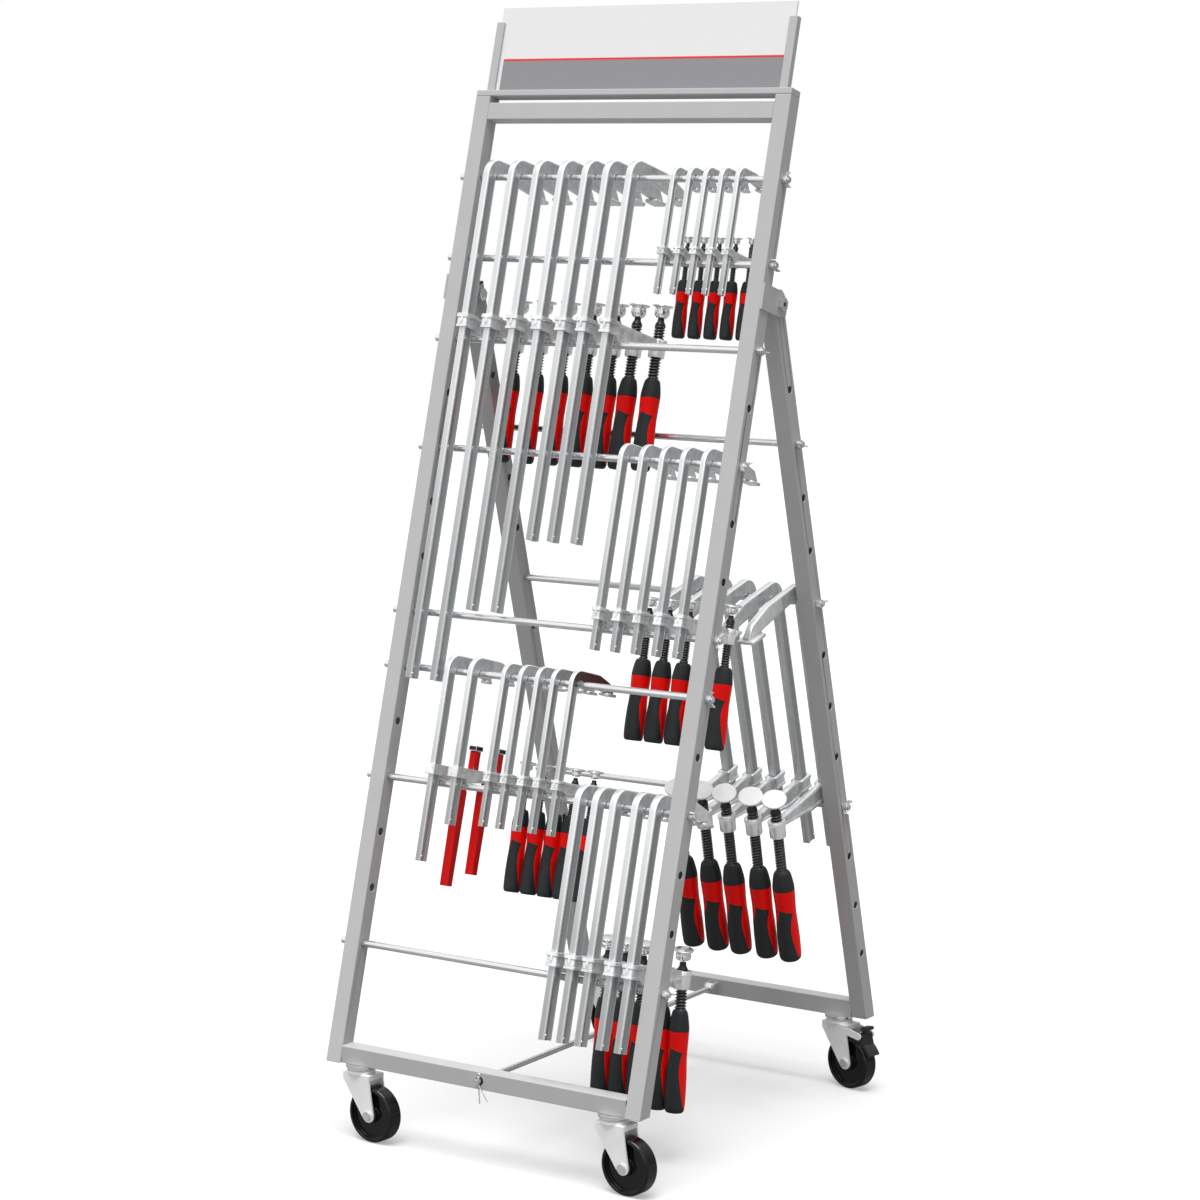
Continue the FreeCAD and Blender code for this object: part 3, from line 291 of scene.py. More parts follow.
# Grain that runs along a frame's rails, or along its rods
ALONG_FRONT = dict(grain=(1, 1, 9), lean=-LEAN)
ALONG_BACK = dict(grain=(1, 1, 9), lean=LEAN)
ALONG_X = dict(grain=(12, 1, 1))
paint = surface("grey_powder_coat", (0.46, 0.46, 0.462), 0.0, (0.4, 0.52), varied=0.02, coarse=25.0,
                fine=1400.0, bump=0.12, bump_distance=0.0001, specular=0.35)
sign_face = surface("sign_sheet", (0.74, 0.74, 0.745), 0.0, (0.34, 0.4), varied=0.006, bump=0.02)
sign_band = surface("sign_band", (0.245, 0.24, 0.255), 0.0, (0.34, 0.4), varied=0.006, bump=0.02)
sign_red = surface("sign_red", (0.74, 0.012, 0.016), 0.0, (0.34, 0.4), varied=0.006, bump=0.02)
zinc = surface("bright_zinc", (0.68, 0.69, 0.70), 0.75, (0.2, 0.34), varied=0.05, coarse=70.0, fine=700.0,
               bump=0.08)
fork_zinc = surface("fork_zinc", (0.93, 0.935, 0.94), 0.2, (0.2, 0.3), varied=0.03, coarse=50.0, bump=0.03)
boss_zinc = surface("boss_zinc", (0.93, 0.935, 0.94), 0.55, (0.18, 0.28), varied=0.05, coarse=120.0,
                    bump=0.04)
rod_zinc = surface("rod_zinc", (0.66, 0.67, 0.68), 0.85, (0.16, 0.26), varied=0.04, coarse=70.0, fine=900.0,
                   bump=0.06, **ALONG_X)
RAIL_TONE = (0.66, 0.68, 0.685)
SIDE_TONE = (0.60, 0.63, 0.635)
JAW_TONE = (0.78, 0.79, 0.795)
# The groove's darker tone is painted shade in its recess
GROOVE_SHADE_TONE = (0.42, 0.445, 0.455)
DARK_TONE = (0.10, 0.11, 0.112)
# A painted highlight, near white, along the rails' rounded outer corners
EDGE_HIGHLIGHT_TONE = (0.95, 0.955, 0.96)
FACE_SLOT, SIDE_SLOT, GROOVE_SHADE_SLOT, EDGE_HIGHLIGHT_SLOT, JAW_SLOT, DARK_SLOT = range(6)


def rail_finishes(name, run):
    """A rail's finishes by slot: front face and lips, sides, groove darkened with painted shade, outer edges
    lightened with a painted highlight, jaw, and a jaw with dark sides.
    """
    face = surface(name + "_face", RAIL_TONE, 0.5, (0.24, 0.36), varied=0.05, coarse=60.0, fine=800.0,
                   bump=0.06, **run)
    side = surface(name + "_side", SIDE_TONE, 0.5, (0.3, 0.46), varied=0.16, coarse=110.0, fine=300.0,
                   bump=0.1)
    jaw = surface(name + "_jaw", JAW_TONE, 0.45, (0.26, 0.4), varied=0.12, coarse=110.0, fine=300.0,
                  bump=0.1)
    # Painted shade: the groove's floor is darker than the face, and rougher
    groove = surface(name + "_groove", GROOVE_SHADE_TONE, 0.5, (0.3, 0.42), varied=0.08, coarse=60.0, fine=900.0,
                     bump=0.08, **run)
    # Painted highlight on the rails' outer corners
    edge = surface(name + "_edge", EDGE_HIGHLIGHT_TONE, 0.35, (0.22, 0.32), varied=0.04, coarse=60.0, bump=0.04, **run)
    dark = surface(name + "_dark", DARK_TONE, 0.5, (0.25, 0.4), varied=0.2, coarse=120.0, bump=0.1)
    return [face, side, groove, edge, jaw, dark]


front_rail_finish = rail_finishes("rail_front", ALONG_FRONT)
back_rail_finish = rail_finishes("rail_back", ALONG_BACK)
forged_zinc = surface("forged_zinc", (0.76, 0.775, 0.78), 0.5, (0.22, 0.38), varied=0.2, coarse=70.0,
                      fine=400.0, bump=0.14, bump_distance=0.0003)
chrome = surface("chrome", (0.78, 0.785, 0.79), 0.95, (0.08, 0.16), varied=0.04, bump=0.03)
pad_plate = surface("pad_plate", (0.86, 0.865, 0.87), 0.1, (0.35, 0.45), varied=0.02, bump=0.05)
thread_black = surface("blackened_steel", (0.013, 0.013, 0.014), 0.3, (0.3, 0.42), varied=0.12, bump=0.1)
# Painted highlight: the threads' crest faces are lighter than their roots
painted_crest_glint = surface("painted_crest_highlight", (0.15, 0.15, 0.155), 0.6, (0.2, 0.3), varied=0.12, bump=0.04)
grip_red = surface("grip_red", (0.93, 0.004, 0.002), 0.0, (0.34, 0.44), varied=0.03, coarse=40.0, fine=1500.0,
                   bump=0.08, specular=0.16)
lever_red = surface("lever_red", (0.66, 0.003, 0.002), 0.0, (0.3, 0.4), varied=0.3, coarse=90.0, fine=900.0,
                    bump=0.05, specular=0.16, **ALONG_FRONT)
grip_black = surface("grip_black", (0.018, 0.022, 0.023), 0.0, (0.5, 0.65), varied=0.1, coarse=60.0,
                     fine=1800.0, bump=0.25, specular=0.3)
wheel_black = surface("wheel_black", (0.006, 0.006, 0.0065), 0.0, (0.1, 0.16), varied=0.1, bump=0.02,
                      specular=0.32)
black_plastic = surface("black_plastic", (0.016, 0.016, 0.017), 0.0, (0.4, 0.55), varied=0.1, bump=0.15,
                        specular=0.35)


WELD_REACH = 0.00001
FLAT_ANGLE = math.radians(0.5)
EDGE_ANGLE = math.radians(40)


def finish_node(name, material, bevel, segments=2, flat=False):
    """Give a CAD node its material and soft edges. A flat one has its triangles joined to faces first."""
    obj = nodes[name]
    obj.data.materials.clear()
    obj.data.materials.append(material)
    weld = obj.modifiers.new("weld", "WELD")
    weld.merge_threshold = WELD_REACH
    if flat:
        merge = obj.modifiers.new("merge", "DECIMATE")
        merge.decimate_type = "DISSOLVE"
        merge.angle_limit = FLAT_ANGLE
    soften = obj.modifiers.new("soften", "BEVEL")
    soften.width = bevel * MM
    soften.segments = segments
    soften.limit_method = "ANGLE"
    soften.angle_limit = EDGE_ANGLE
    soften.harden_normals = True
    level = obj.modifiers.new("level", "WEIGHTED_NORMAL")
    level.keep_sharp = True


PAINTED = ("front_left_post", "front_right_post", "front_top_rail", "front_bottom_rail", "sign_holder",
           "back_left_post", "back_right_post", "back_bottom_rail")
for node in PAINTED:
    finish_node(node, paint, 1.2, 3)
finish_node("hinge_brackets", paint, 0.5, flat=True)
finish_node("hinge_bolts", chrome, 0.4)
finish_node("sign_board", sign_face, 0.4)
for node in ("front_rods", "back_rods", "spreader_rod"):
    finish_node(node, rod_zinc, 0.5)
for node in ("front_wing_nuts", "back_wing_nuts", "spreader_clip"):
    finish_node(node, zinc, 0.4)
for node in ("front_caster_heads", "back_caster_heads"):
    finish_node(node, chrome, 0.5)
finish_node("back_post_plugs", black_plastic, 0.6)
for place in ("front_left", "front_right", "back_left", "back_right"):
    finish_node(place + "_fork", fork_zinc, 0.5)
    finish_node(place + "_axle", zinc, 0.5)
    finish_node(place + "_wheel", wheel_black, 1.0, 3)
for place in ("back_left", "back_right"):
    finish_node(place + "_brake", black_plastic, 0.5)
finish_node("lever_arms", forged_zinc, 0.6)
finish_node("lever_handles", lever_red, 2.6, 4, flat=True)


# Sections of a web: limits of its rounding, of its flat lip and of its groove's slope
ROUND_LIMIT = 0.2
ROUND_MIDDLE = 0.3
LEAST_LIP = 0.2
SLOPE_LIMIT = 1.6
SLOPE_SHARE = 0.08


def web_section(inner, outer, half, cut, lip, rounding):
    """A ring of points across a web from its inner to its outer edge, with a groove in both sides."""
    inner, outer = Vector(inner), Vector(outer)
    depth = (outer - inner).length
    unit = (outer - inner) / depth
    r = min(rounding, depth * ROUND_LIMIT)
    m = r * ROUND_MIDDLE
    w = max(r + LEAST_LIP, depth * lip)
    slope = min(SLOPE_LIMIT, depth * SLOPE_SHARE)
    right = [(half - r, 0), (half - m, m), (half, r), (half, w), (half - cut, w + slope),
             (half - cut, depth - w - slope), (half, depth - w), (half, depth - r),
             (half - m, depth - m), (half - r, depth)]
    left = [(-x, d) for x, d in reversed(right)]
    points = []
    for x, d in right + left:
        p = inner + unit * d
        points.append((x, p.x, p.y))
    return points


# Which of a section's edges are its sides, its grooves and its outer corners, the last with a painted
# highlight
SIDE_EDGES = (2, 3, 4, 5, 6, 12, 13, 14, 15, 16)
GROOVE_EDGES = (3, 4, 5, 13, 14, 15)
HIGHLIGHT_EDGES = (7, 8, 10, 11)


def loft(sections, slots_of):
    """Join rings of points with quads and close both ends."""
    points, faces, slots = [], [], []
    count = len(sections[0])
    for section in sections:
        points.extend(section)
    for k in range(len(sections) - 1):
        a, b = k * count, (k + 1) * count
        for e in range(count):
            n = (e + 1) % count
            faces.append([a + e, a + n, b + n, b + e])
            slots.append(slots_of(k, e))
    faces.append([count - 1 - k for k in range(count)])
    slots.append(slots_of(0, 0))
    last = (len(sections) - 1) * count
    faces.append([last + k for k in range(count)])
    slots.append(slots_of(len(sections) - 2, 0))
    return points, faces, slots


# Rails: an I-section swept up the rail, round the bend and out along the jaw. Shares are of the rail's
# depth, and those of the jaw's length are of the throat.
LIP_SHARE = 0.2
GROOVE_SHARE = 0.17
RAIL_ROUNDING = 0.17
END_CHAMFER = 0.8
GROOVE_FADE = ((-14, 1), (-9, 0.9), (-4, 0.2), (-1, 0))
BEND_STEPS = 12
JAW_STRAIGHT = 0.62
JAW_PLACES = (0.15, 0.35, JAW_STRAIGHT - 0.05, JAW_STRAIGHT + 0.03, 0.78)
JAW_TIP = 0.45
JAW_FACE = -0.42
JAW_END = 0.85
LEAST_JAW = 1.2
FOOT_THICKNESS = 0.28
FOOT_WIDTH = 0.75
FOOT_EDGE = 0.06
SIDES_FROM = 4
JAW_FROM = 7
PIN_PROFILE = ((1.2, 1.0), (1.7, 0.5))
PIN_BACK = 0.82
PIN_UP = 7
PIN_SIDES = 10


def rail_stations(clamp, length):
    """Inner and outer edge of the rail in (T, S), and how deep its groove is, from the free end up."""
    depth = clamp["depth"]
    low = BOW + depth - length
    reach = clamp["throat"] - BOW
    foot = clamp["pad"] / 2
    foot_top = depth * (JAW_FACE + FOOT_THICKNESS)
    stations = [((-BOW - END_CHAMFER, low), (-BOW - depth + END_CHAMFER, low), 1)]
    for s, groove in ((low + END_CHAMFER, 1),) + GROOVE_FADE:
        stations.append(((-BOW, s), (-BOW - depth, s), groove))
    for k in range(BEND_STEPS + 1):
        angle = math.pi - math.pi / 2 * k / BEND_STEPS
        c, q = math.cos(angle), math.sin(angle)
        stations.append(((BOW * c, BOW * q), ((BOW + depth) * c, (BOW + depth) * q), 0))
    straight = reach * JAW_STRAIGHT
    run = reach - foot

    def under(t):
        return BOW + (foot_top - BOW) * min(1.0, t / run)

    def over(t):
        if t <= straight:
            return BOW + depth
        if t <= reach:
            return BOW + depth + (depth * (JAW_TIP - 1)) * (t - straight) / (reach - straight)
        return BOW + depth * JAW_TIP + (foot_top - BOW - depth * JAW_TIP) * (t - reach) / foot
    for share in JAW_PLACES + (run / reach, 1.0):
        t = reach * share
        stations.append(((t, under(t)), (t, over(t)), 0))
    end = reach + foot * JAW_END
    stations.append(((end, foot_top), (end, max(over(end), foot_top + LEAST_JAW)), 0))
    return stations


def rounded_box(half_x, t0, t1, s0, s1, edge):
    """A block with all edges chamfered, for small forged and pressed pieces."""
    loops = []
    for s, inset in ((s0, edge), (s0 + edge, 0), (s1 - edge, 0), (s1, edge)):
        x, a, b, e = half_x - inset, t0 + inset, t1 - inset, edge
        right = [(x - e, a), (x, a + e), (x, b - e), (x - e, b)]
        left = [(-px, pt) for px, pt in reversed(right)]
        loops.append([(px, pt, s) for px, pt in right + left])
    return loft(loops, lambda k, e: 0)[:2]


def add_rail(shape, clamp, length, matrix, dark=False):
    """A rail with its grooves, its bend over the rod, its jaw with the foot, and the stop pin at its end."""
    half = clamp["thick"] / 2
    cut = clamp["thick"] * GROOVE_SHARE
    stations = rail_stations(clamp, length)
    sections = [web_section(inner, outer, half, cut * groove, LIP_SHARE, clamp["thick"] * RAIL_ROUNDING)
                for inner, outer, groove in stations]

    def slot_of(k, e):
        # Outer corners take the painted highlight and the groove's floor the painted shade
        if e in HIGHLIGHT_EDGES:
            return EDGE_HIGHLIGHT_SLOT
        if e in SIDE_EDGES and k >= SIDES_FROM:
            if dark:
                return DARK_SLOT
            return JAW_SLOT if k > BEND_STEPS + JAW_FROM else SIDE_SLOT
        return GROOVE_SHADE_SLOT if e in GROOVE_EDGES else FACE_SLOT
    points, faces, slots = loft(sections, slot_of)
    shape.add(points, faces, matrix, slots)
    depth, reach, foot = clamp["depth"], clamp["throat"] - BOW, clamp["pad"] / 2
    points, faces = rounded_box(foot * FOOT_WIDTH, reach - foot, reach + foot, depth * JAW_FACE,
                                depth * (JAW_FACE + FOOT_THICKNESS), depth * FOOT_EDGE)
    shape.add(points, faces, matrix, JAW_SLOT)
    low = BOW + depth - length
    upper = [(radius, half + proud) for radius, proud in reversed(PIN_PROFILE)]
    lower = [(radius, -half - proud) for radius, proud in PIN_PROFILE]
    ends = half + PIN_PROFILE[0][1]
    points, faces = lathe([(0, -ends)] + lower + upper + [(0, ends)], PIN_SIDES)
    place = Matrix.Translation((0, -BOW - depth * PIN_BACK, low + PIN_UP))
    shape.add(points, faces, matrix @ place @ Matrix.Rotation(math.pi / 2, 4, "Y"), FACE_SLOT)


# Sliding arms: collar round the rail, ribbed web and threaded boss. The collar's bands are given from its
# top down, as shares of its height, each with a share of its wall.
SLIDE_PLAY = 0.35
COLLAR_WALL = 0.42
COLLAR_HEIGHT = 0.75
COLLAR_BANDS = ((0.0, 0.3, 1.0), (0.3, 0.78, 0.62), (0.78, 1.0, 0.85))
COLLAR_EDGE = 0.16
COLLAR_CORNER = 0.75
BORE_CORNER = 0.4
CORNER_STEPS = 3
KNOB = ((0.5, 0.0), (0.62, 0.2))
KNOB_HEIGHT = 0.4
KNOB_ROUNDING = 0.5
KNOB_SIDES = 12
KNOB_OUT = 0.42
KNOB_DOWN = 0.66
ARM_WIDTH = 1.3
ARM_WAIST = 0.18
ARM_GROOVE = 0.36
ARM_LIP = 0.17
ARM_ROUNDING = 0.3
ARM_SINK = 0.4
ARM_START = 0.5
ARM_END = 0.45
ARM_ROOT = 0.6
ARM_BELLY = 2.0
ROOT_CURVE = 0.6
END_CURVE = 0.85
ARM_STEPS = 5
ARM_INTO_BOSS = 0.6
BOSS_SHARE = 1.65
BOSS_LENGTH = 0.95
BOSS_FLANGE = 0.24
BOSS_SIDES = 28


def rounded_loop(half_x, t0, t1, radius, s):
    """A rectangle with round corners at one height."""
    corners = ((half_x - radius, t0 + radius, -90), (half_x - radius, t1 - radius, 0),
               (-half_x + radius, t1 - radius, 90), (-half_x + radius, t0 + radius, 180))
    loop = []
    for x, t, start in corners:
        for k in range(CORNER_STEPS + 1):
            angle = math.radians(start + 90 * k / CORNER_STEPS)
            loop.append((x + radius * math.cos(angle), t + radius * math.sin(angle), s))
    return loop


def collar_ring(half_in, in0, in1, wall, s0, s1, edge):
    """A band round the rail with soft outer edges and a square bore."""
    outer = ((s0, edge), (s0 + edge, 0), (s1 - edge, 0), (s1, edge))
    loops = [rounded_loop(half_in + wall - i, in0 - wall + i, in1 + wall - i, wall * COLLAR_CORNER, s)
             for s, i in outer]
    loops += [rounded_loop(half_in, in0, in1, BORE_CORNER, s) for s in (s1, s0)]
    points, faces = [], []
    count = len(loops[0])
    for loop in loops:
        points.extend(loop)
    for k in range(len(loops)):
        a, b = k * count, (k + 1) % len(loops) * count
        faces.extend([a + e, a + (e + 1) % count, b + (e + 1) % count, b + e] for e in range(count))
    return points, faces


def add_arm(shape, clamp, tilt, matrix):
    """A sliding arm: the collar's three bands and knob, the web with its bellied underside, and the boss."""
    height = clamp["arm"]
    wall = clamp["thick"] * COLLAR_WALL
    half_in = clamp["thick"] / 2 + SLIDE_PLAY
    in0, in1 = -BOW - clamp["depth"] - SLIDE_PLAY, -BOW + SLIDE_PLAY
    collar = height * COLLAR_HEIGHT
    low = height - collar
    for upper, lower, share in COLLAR_BANDS:
        s0, s1 = height - collar * lower, height - collar * upper
        shape.add(*collar_ring(half_in, in0, in1, wall * share, s0, s1, wall * COLLAR_EDGE), matrix)
    knob = [(0, 0)] + [(wall * radius, wall * up) for radius, up in KNOB]
    knob += [(wall * KNOB[-1][0], collar * KNOB_HEIGHT), (0, collar * KNOB_HEIGHT)]
    seat = Matrix.Translation((0, in0 - wall * KNOB_OUT, height - collar * KNOB_DOWN))
    shape.add(*lathe(smooth_profile(knob, KNOB_ROUNDING), KNOB_SIDES), matrix @ seat)
    reach = clamp["throat"] - BOW
    half_web = clamp["thick"] * ARM_WIDTH / 2
    start, root = in1 + wall * ARM_START, in1 + clamp["depth"] * ARM_ROOT
    belly = in1 + clamp["depth"] * ARM_BELLY
    end_low = height * (1 - ARM_END)
    boss = clamp["spindle"] * BOSS_SHARE / 2

    def under(t):
        if t <= root:
            return low * (1 - (t - in1) / (root - in1)) ** ROOT_CURVE if t > in1 else low
        if t <= belly:
            return 0.0
        return end_low * ((t - belly) / (reach - belly)) ** END_CURVE
    run = reach - boss * ARM_INTO_BOSS - belly
    places = [start, (start + root) / 2, root, (root + belly) / 2, belly]
    places += [belly + run * k / ARM_STEPS for k in range(1, ARM_STEPS + 1)]
    sections = []
    for index, t in enumerate(places):
        narrow = half_web * (1 - ARM_WAIST * math.sin(math.pi * index / len(places)))
        top = height - (0.0 if index == 0 else ARM_SINK)
        groove = 0.0 if index in (0, len(places) - 1) else narrow * ARM_GROOVE
        sections.append(web_section((t, under(t)), (t, top), narrow, groove, ARM_LIP, narrow * ARM_ROUNDING))
    shape.add(*loft(sections, lambda k, e: 0)[:2], matrix)
    length = height * BOSS_LENGTH
    flange = length * BOSS_FLANGE
    bore = clamp["spindle"] / 2
    profile = [(bore, -length), (boss * 0.84, -length), (boss * 0.9, -length + 1.2),
               (boss * 0.93, -flange - 0.6), (boss, -flange), (boss, -0.8),
               (boss * 0.95, 0), (bore + 0.25, 0)]
    seat = Matrix.Translation((0, reach, height)) @ Matrix.Rotation(math.radians(tilt), 4, "X")
    shape.add(*lathe(profile, BOSS_SIDES), matrix @ seat, 1)


# The lever clamps hang in row 4, left of its spindle clamps
LEVER = dict(depth=18.0, thick=8.5, throat=84.0, pad=15.0, arm=20.0)
LEVER_X = (-HALF_WIDTH + 112.0, -HALF_WIDTH + 152.0)
LEVER_RAILS = (296.0, 240.0)

for number, row in ROWS.items():
    rails, arms = Shape(), Shape()
    for x, length in zip(row["x"], row["rails"]):
        # The last rail of row 4 has dark sides from its bend on
        is_dark = number == LEVER_ROW and x == row["x"][-1]
        add_rail(rails, row["clamp"], length, clamp_matrix(number, x, row["hang"]), is_dark)
        add_arm(arms, row["clamp"], row["tilt"], clamp_matrix(number, x, row["rest"]))
    if number == LEVER_ROW:
        for x, length in zip(LEVER_X, LEVER_RAILS):
            add_rail(rails, LEVER, length, clamp_matrix(number, x, row["hang"]))
    carrier = "back_frame" if number == BACK_ROW else "frame"
    finishes = back_rail_finish if number == BACK_ROW else front_rail_finish
    rails.piece("row_%d_hung_rails" % number, carrier, finishes,
                ["row_%d_rails" % number], "clamp_steel", sharp=50.0)
    arms.piece("row_%d_sliding_arms" % number, "row_%d_slides" % number, [forged_zinc, boss_zinc],
               ["row_%d_arms" % number], "clamp_steel", sharp=40.0)


# Lever clamps: a red nose with a black cap over each pressure piece
NOSE_HEIGHT = 36.0
NOSE_HALF = 6.5
NOSE_WIDTH = 0.8
NOSE_EDGE = 1.0
NOSE_CAP = 7.0
CAP_DEPTH = 1.35
CAP_EDGE = 1.2
COVER = 0.2


def add_nose(shape, matrix):
    reach = LEVER["throat"] - BOW
    top = LEVER["arm"] + NOSE_HEIGHT
    low = LEVER["arm"] + COVER
    body = rounded_box(NOSE_HALF * NOSE_WIDTH + COVER, reach - NOSE_HALF - COVER, reach + NOSE_HALF + COVER,
                       low, top - NOSE_CAP, NOSE_EDGE)
    shape.add(*body, matrix)
    deep = NOSE_HALF * CAP_DEPTH
    cap = rounded_box(NOSE_HALF + COVER, reach - deep - COVER, reach + deep + COVER,
                      top - NOSE_CAP, top + COVER, CAP_EDGE)
    shape.add(*cap, matrix, 1)


noses = Shape()
for x in LEVER_X:
    add_nose(noses, clamp_matrix(LEVER_ROW, x, ROWS[LEVER_ROW]["rest"]))
noses.piece("lever_noses", "lever_slides", [lever_red, grip_black], (), "handle_plastic")

# Painted shade in the hollows of the hinge bolts' heads: thin black discs that stand just proud of both ends
HOLLOW_RADIUS = 3.2
HOLLOW_DEPTH = 0.15
HOLLOW_SHIFTS = (0.05, 0.1)
HOLLOW_SIDES = 20
hollow = [(0, 0), (HOLLOW_RADIUS, 0), (HOLLOW_RADIUS, HOLLOW_DEPTH), (0, HOLLOW_DEPTH)]
hollow_shade_discs = Shape()
for corner, shift in zip(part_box("hinge_bolts"), HOLLOW_SHIFTS):
    outer = corner.x / MM - SHIFT.x
    seat = Matrix.Translation((outer - shift, 0, 0)) @ Matrix.Rotation(math.pi / 2, 4, "Y")
    hollow_shade_discs.add(*lathe(hollow, HOLLOW_SIDES), BACK @ seat)
# The discs carry painted shade, in the black thread finish
hollow_shade_discs.piece("hinge_bolt_hollow_shade", "frame", [thread_black])


# Grips: a place is a share of the length, from the cap down. The profile gives the radius as a share at
# each place, and the inlay's edges are angles in degrees.
GRIP_PROFILE = ((0.0, 0.60), (0.01, 0.68), (0.03, 0.76), (0.07, 0.84), (0.12, 0.91), (0.17, 0.965),
                (0.205, 0.975), (0.22, 0.97), (0.30, 0.945), (0.38, 0.915), (0.45, 0.905), (0.53, 0.93),
                (0.63, 0.975), (0.75, 1.0), (0.87, 0.995), (0.935, 0.975), (0.965, 0.945), (0.985, 0.88),
                (0.997, 0.76))
INLAY_RIGHT = ((0.0, 145), (0.38, 145), (0.45, 134), (0.55, 125), (0.65, 128), (0.75, 138), (0.85, 150),
               (0.93, 166), (1.0, 172))
INLAY_LEFT = ((0.0, 60), (0.38, 60), (0.45, 44), (0.52, 26), (0.60, 6), (1.0, 6))
INLAY_TOP = 0.38
INLAY_END = 0.945
INLAY_JOINED = 0.57
INLAY_FACING = math.radians(-170)
INLAY_SLANT = 0.03
SLANT_REACH = 0.04
INLAY_SEAM = 0.35
CAP_END = 0.205
CAP_SEAM = 0.035
CAP_SEAM_HALF = 0.006
GRIP_OVAL = 0.02
GRIP_COLUMNS = (9, 5, 9, 15)
GRIP_RINGS = 54
LEAST_RING = 0.004


def along(table, place):
    """Read a table of (place, value), with straight runs between its rows."""
    for (a, low), (b, high) in zip(table[:-1], table[1:]):
        if place <= b:
            w = (place - a) / (b - a)
            return low + (high - low) * w
    return table[-1][1]


def grip_angles(place, lower):
    """The columns' angles, with one column on each edge of the inlay, which sits lower on some grips."""
    right = math.radians(along(INLAY_RIGHT, max(0.0, place - lower)))
    left = math.radians(along(INLAY_LEFT, max(0.0, place - lower)))
    edges = [-right, -left, left, right, 2 * math.pi - right]
    angles = []
    for index, count in enumerate(GRIP_COLUMNS):
        low, high = edges[index], edges[index + 1]
        angles.extend(low + (high - low) * k / count for k in range(count))
    return angles


def grip_rings(inlay_top):
    """Places of the grip's rings: even ones, the profile's own and those at the seams."""
    places = {inlay_top, INLAY_END, CAP_END, CAP_END + CAP_SEAM_HALF, CAP_END - CAP_SEAM_HALF}
    places.update(k / GRIP_RINGS for k in range(GRIP_RINGS))
    places.update(place for place, share in GRIP_PROFILE)
    ordered = sorted(places)
    kept = [ordered[0]]
    for place in ordered[1:]:
        if place - kept[-1] > LEAST_RING or place in (inlay_top, INLAY_END, CAP_END):
            kept.append(place)
    return kept


def grip_mesh(diameter, length, top, lower):
    """A two-colour grip about Z: black bell cap, red body, black inlay with wavy edges."""
    radius = diameter / 2
    columns = sum(GRIP_COLUMNS)
    edge_columns = [sum(GRIP_COLUMNS[:k]) for k in range(len(GRIP_COLUMNS))]
    inlay_top = INLAY_TOP + lower / 2
    joined = INLAY_JOINED + lower
    rings = grip_rings(inlay_top)
    points, faces, slots = [], [], []
    for place in rings:
        share = along(GRIP_PROFILE, place)
        if place == CAP_END:
            share -= CAP_SEAM
        for index, angle in enumerate(grip_angles(place, lower)):
            r = radius * share
            on_edge = index in edge_columns and inlay_top < place < INLAY_END
            if on_edge and not (index in edge_columns[1:3] and place > joined):
                r -= INLAY_SEAM
            slant = INLAY_SLANT * math.exp(-((place - inlay_top) / SLANT_REACH) ** 2) * math.cos(angle)
            wide = 1 + GRIP_OVAL * math.cos(2 * angle)
            turn = angle + INLAY_FACING
            points.append((r * wide * math.cos(turn), r * wide * math.sin(turn),
                           top - length * (place - slant)))
    for ring in range(len(rings) - 1):
        middle = (rings[ring] + rings[ring + 1]) / 2
        for k in range(columns):
            n = (k + 1) % columns
            a, b = ring * columns, (ring + 1) * columns
            faces.append([a + k, b + k, b + n, a + n])
            sector = sum(1 for start in edge_columns if k >= start) - 1
            black = middle < CAP_END or middle > INLAY_END
            if inlay_top < middle <= INLAY_END:
                black = sector in (0, 2) or (sector == 1 and middle > joined)
            slots.append(1 if black else 0)
    faces.append(list(range(columns)))
    slots.append(1)
    last = (len(rings) - 1) * columns
    faces.append([last + columns - 1 - k for k in range(columns)])
    slots.append(1)
    return points, faces, slots


# Spindles: pitch as a share of the diameter, depth as one of the radius
THREAD_STEPS = 8
THREAD_SIDES = 20
THREAD_PITCH_SHARE = 0.27
THREAD_DEPTH_SHARE = 0.26
FLANK_SLOPE = 2.4
CREST_WIDTH = 0.7
CREST = 0.05


def thread_mesh(radius, low, high, pitch, depth):
    """A coarse screw thread about Z between two heights, its ends run out and a painted highlight on its
    crests.
    """
    count = max(2, int((high - low) / pitch * THREAD_STEPS))
    points, faces, slots = [], [], []

    def ridge_at(z, k):
        phase = (z / pitch - k / THREAD_SIDES) % 1.0
        return min(1.0, max(0.0, FLANK_SLOPE * abs(phase - 0.5) * 2 - CREST_WIDTH))
    for ring in range(count + 1):
        z = low + (high - low) * ring / count
        for k in range(THREAD_SIDES):
            fade = min(1.0, (z - low) / pitch, (high - z) / pitch)
            r = radius - depth * ridge_at(z, k) * max(0.0, fade)
            angle = 2 * math.pi * k / THREAD_SIDES
            points.append((r * math.cos(angle), r * math.sin(angle), z))
    for ring in range(count):
        z = low + (high - low) * (ring + 0.5) / count
        for k in range(THREAD_SIDES):
            n = (k + 1) % THREAD_SIDES
            a, b = ring * THREAD_SIDES, (ring + 1) * THREAD_SIDES
            faces.append([a + k, a + n, b + n, b + k])
            # Faces near a crest take the painted highlight
            slots.append(1 if ridge_at(z, k + 0.5) < CREST else 0)
    faces.append([THREAD_SIDES - 1 - k for k in range(THREAD_SIDES)])
    last = count * THREAD_SIDES
    faces.append([last + k for k in range(THREAD_SIDES)])
    return points, faces, slots + [0, 0]


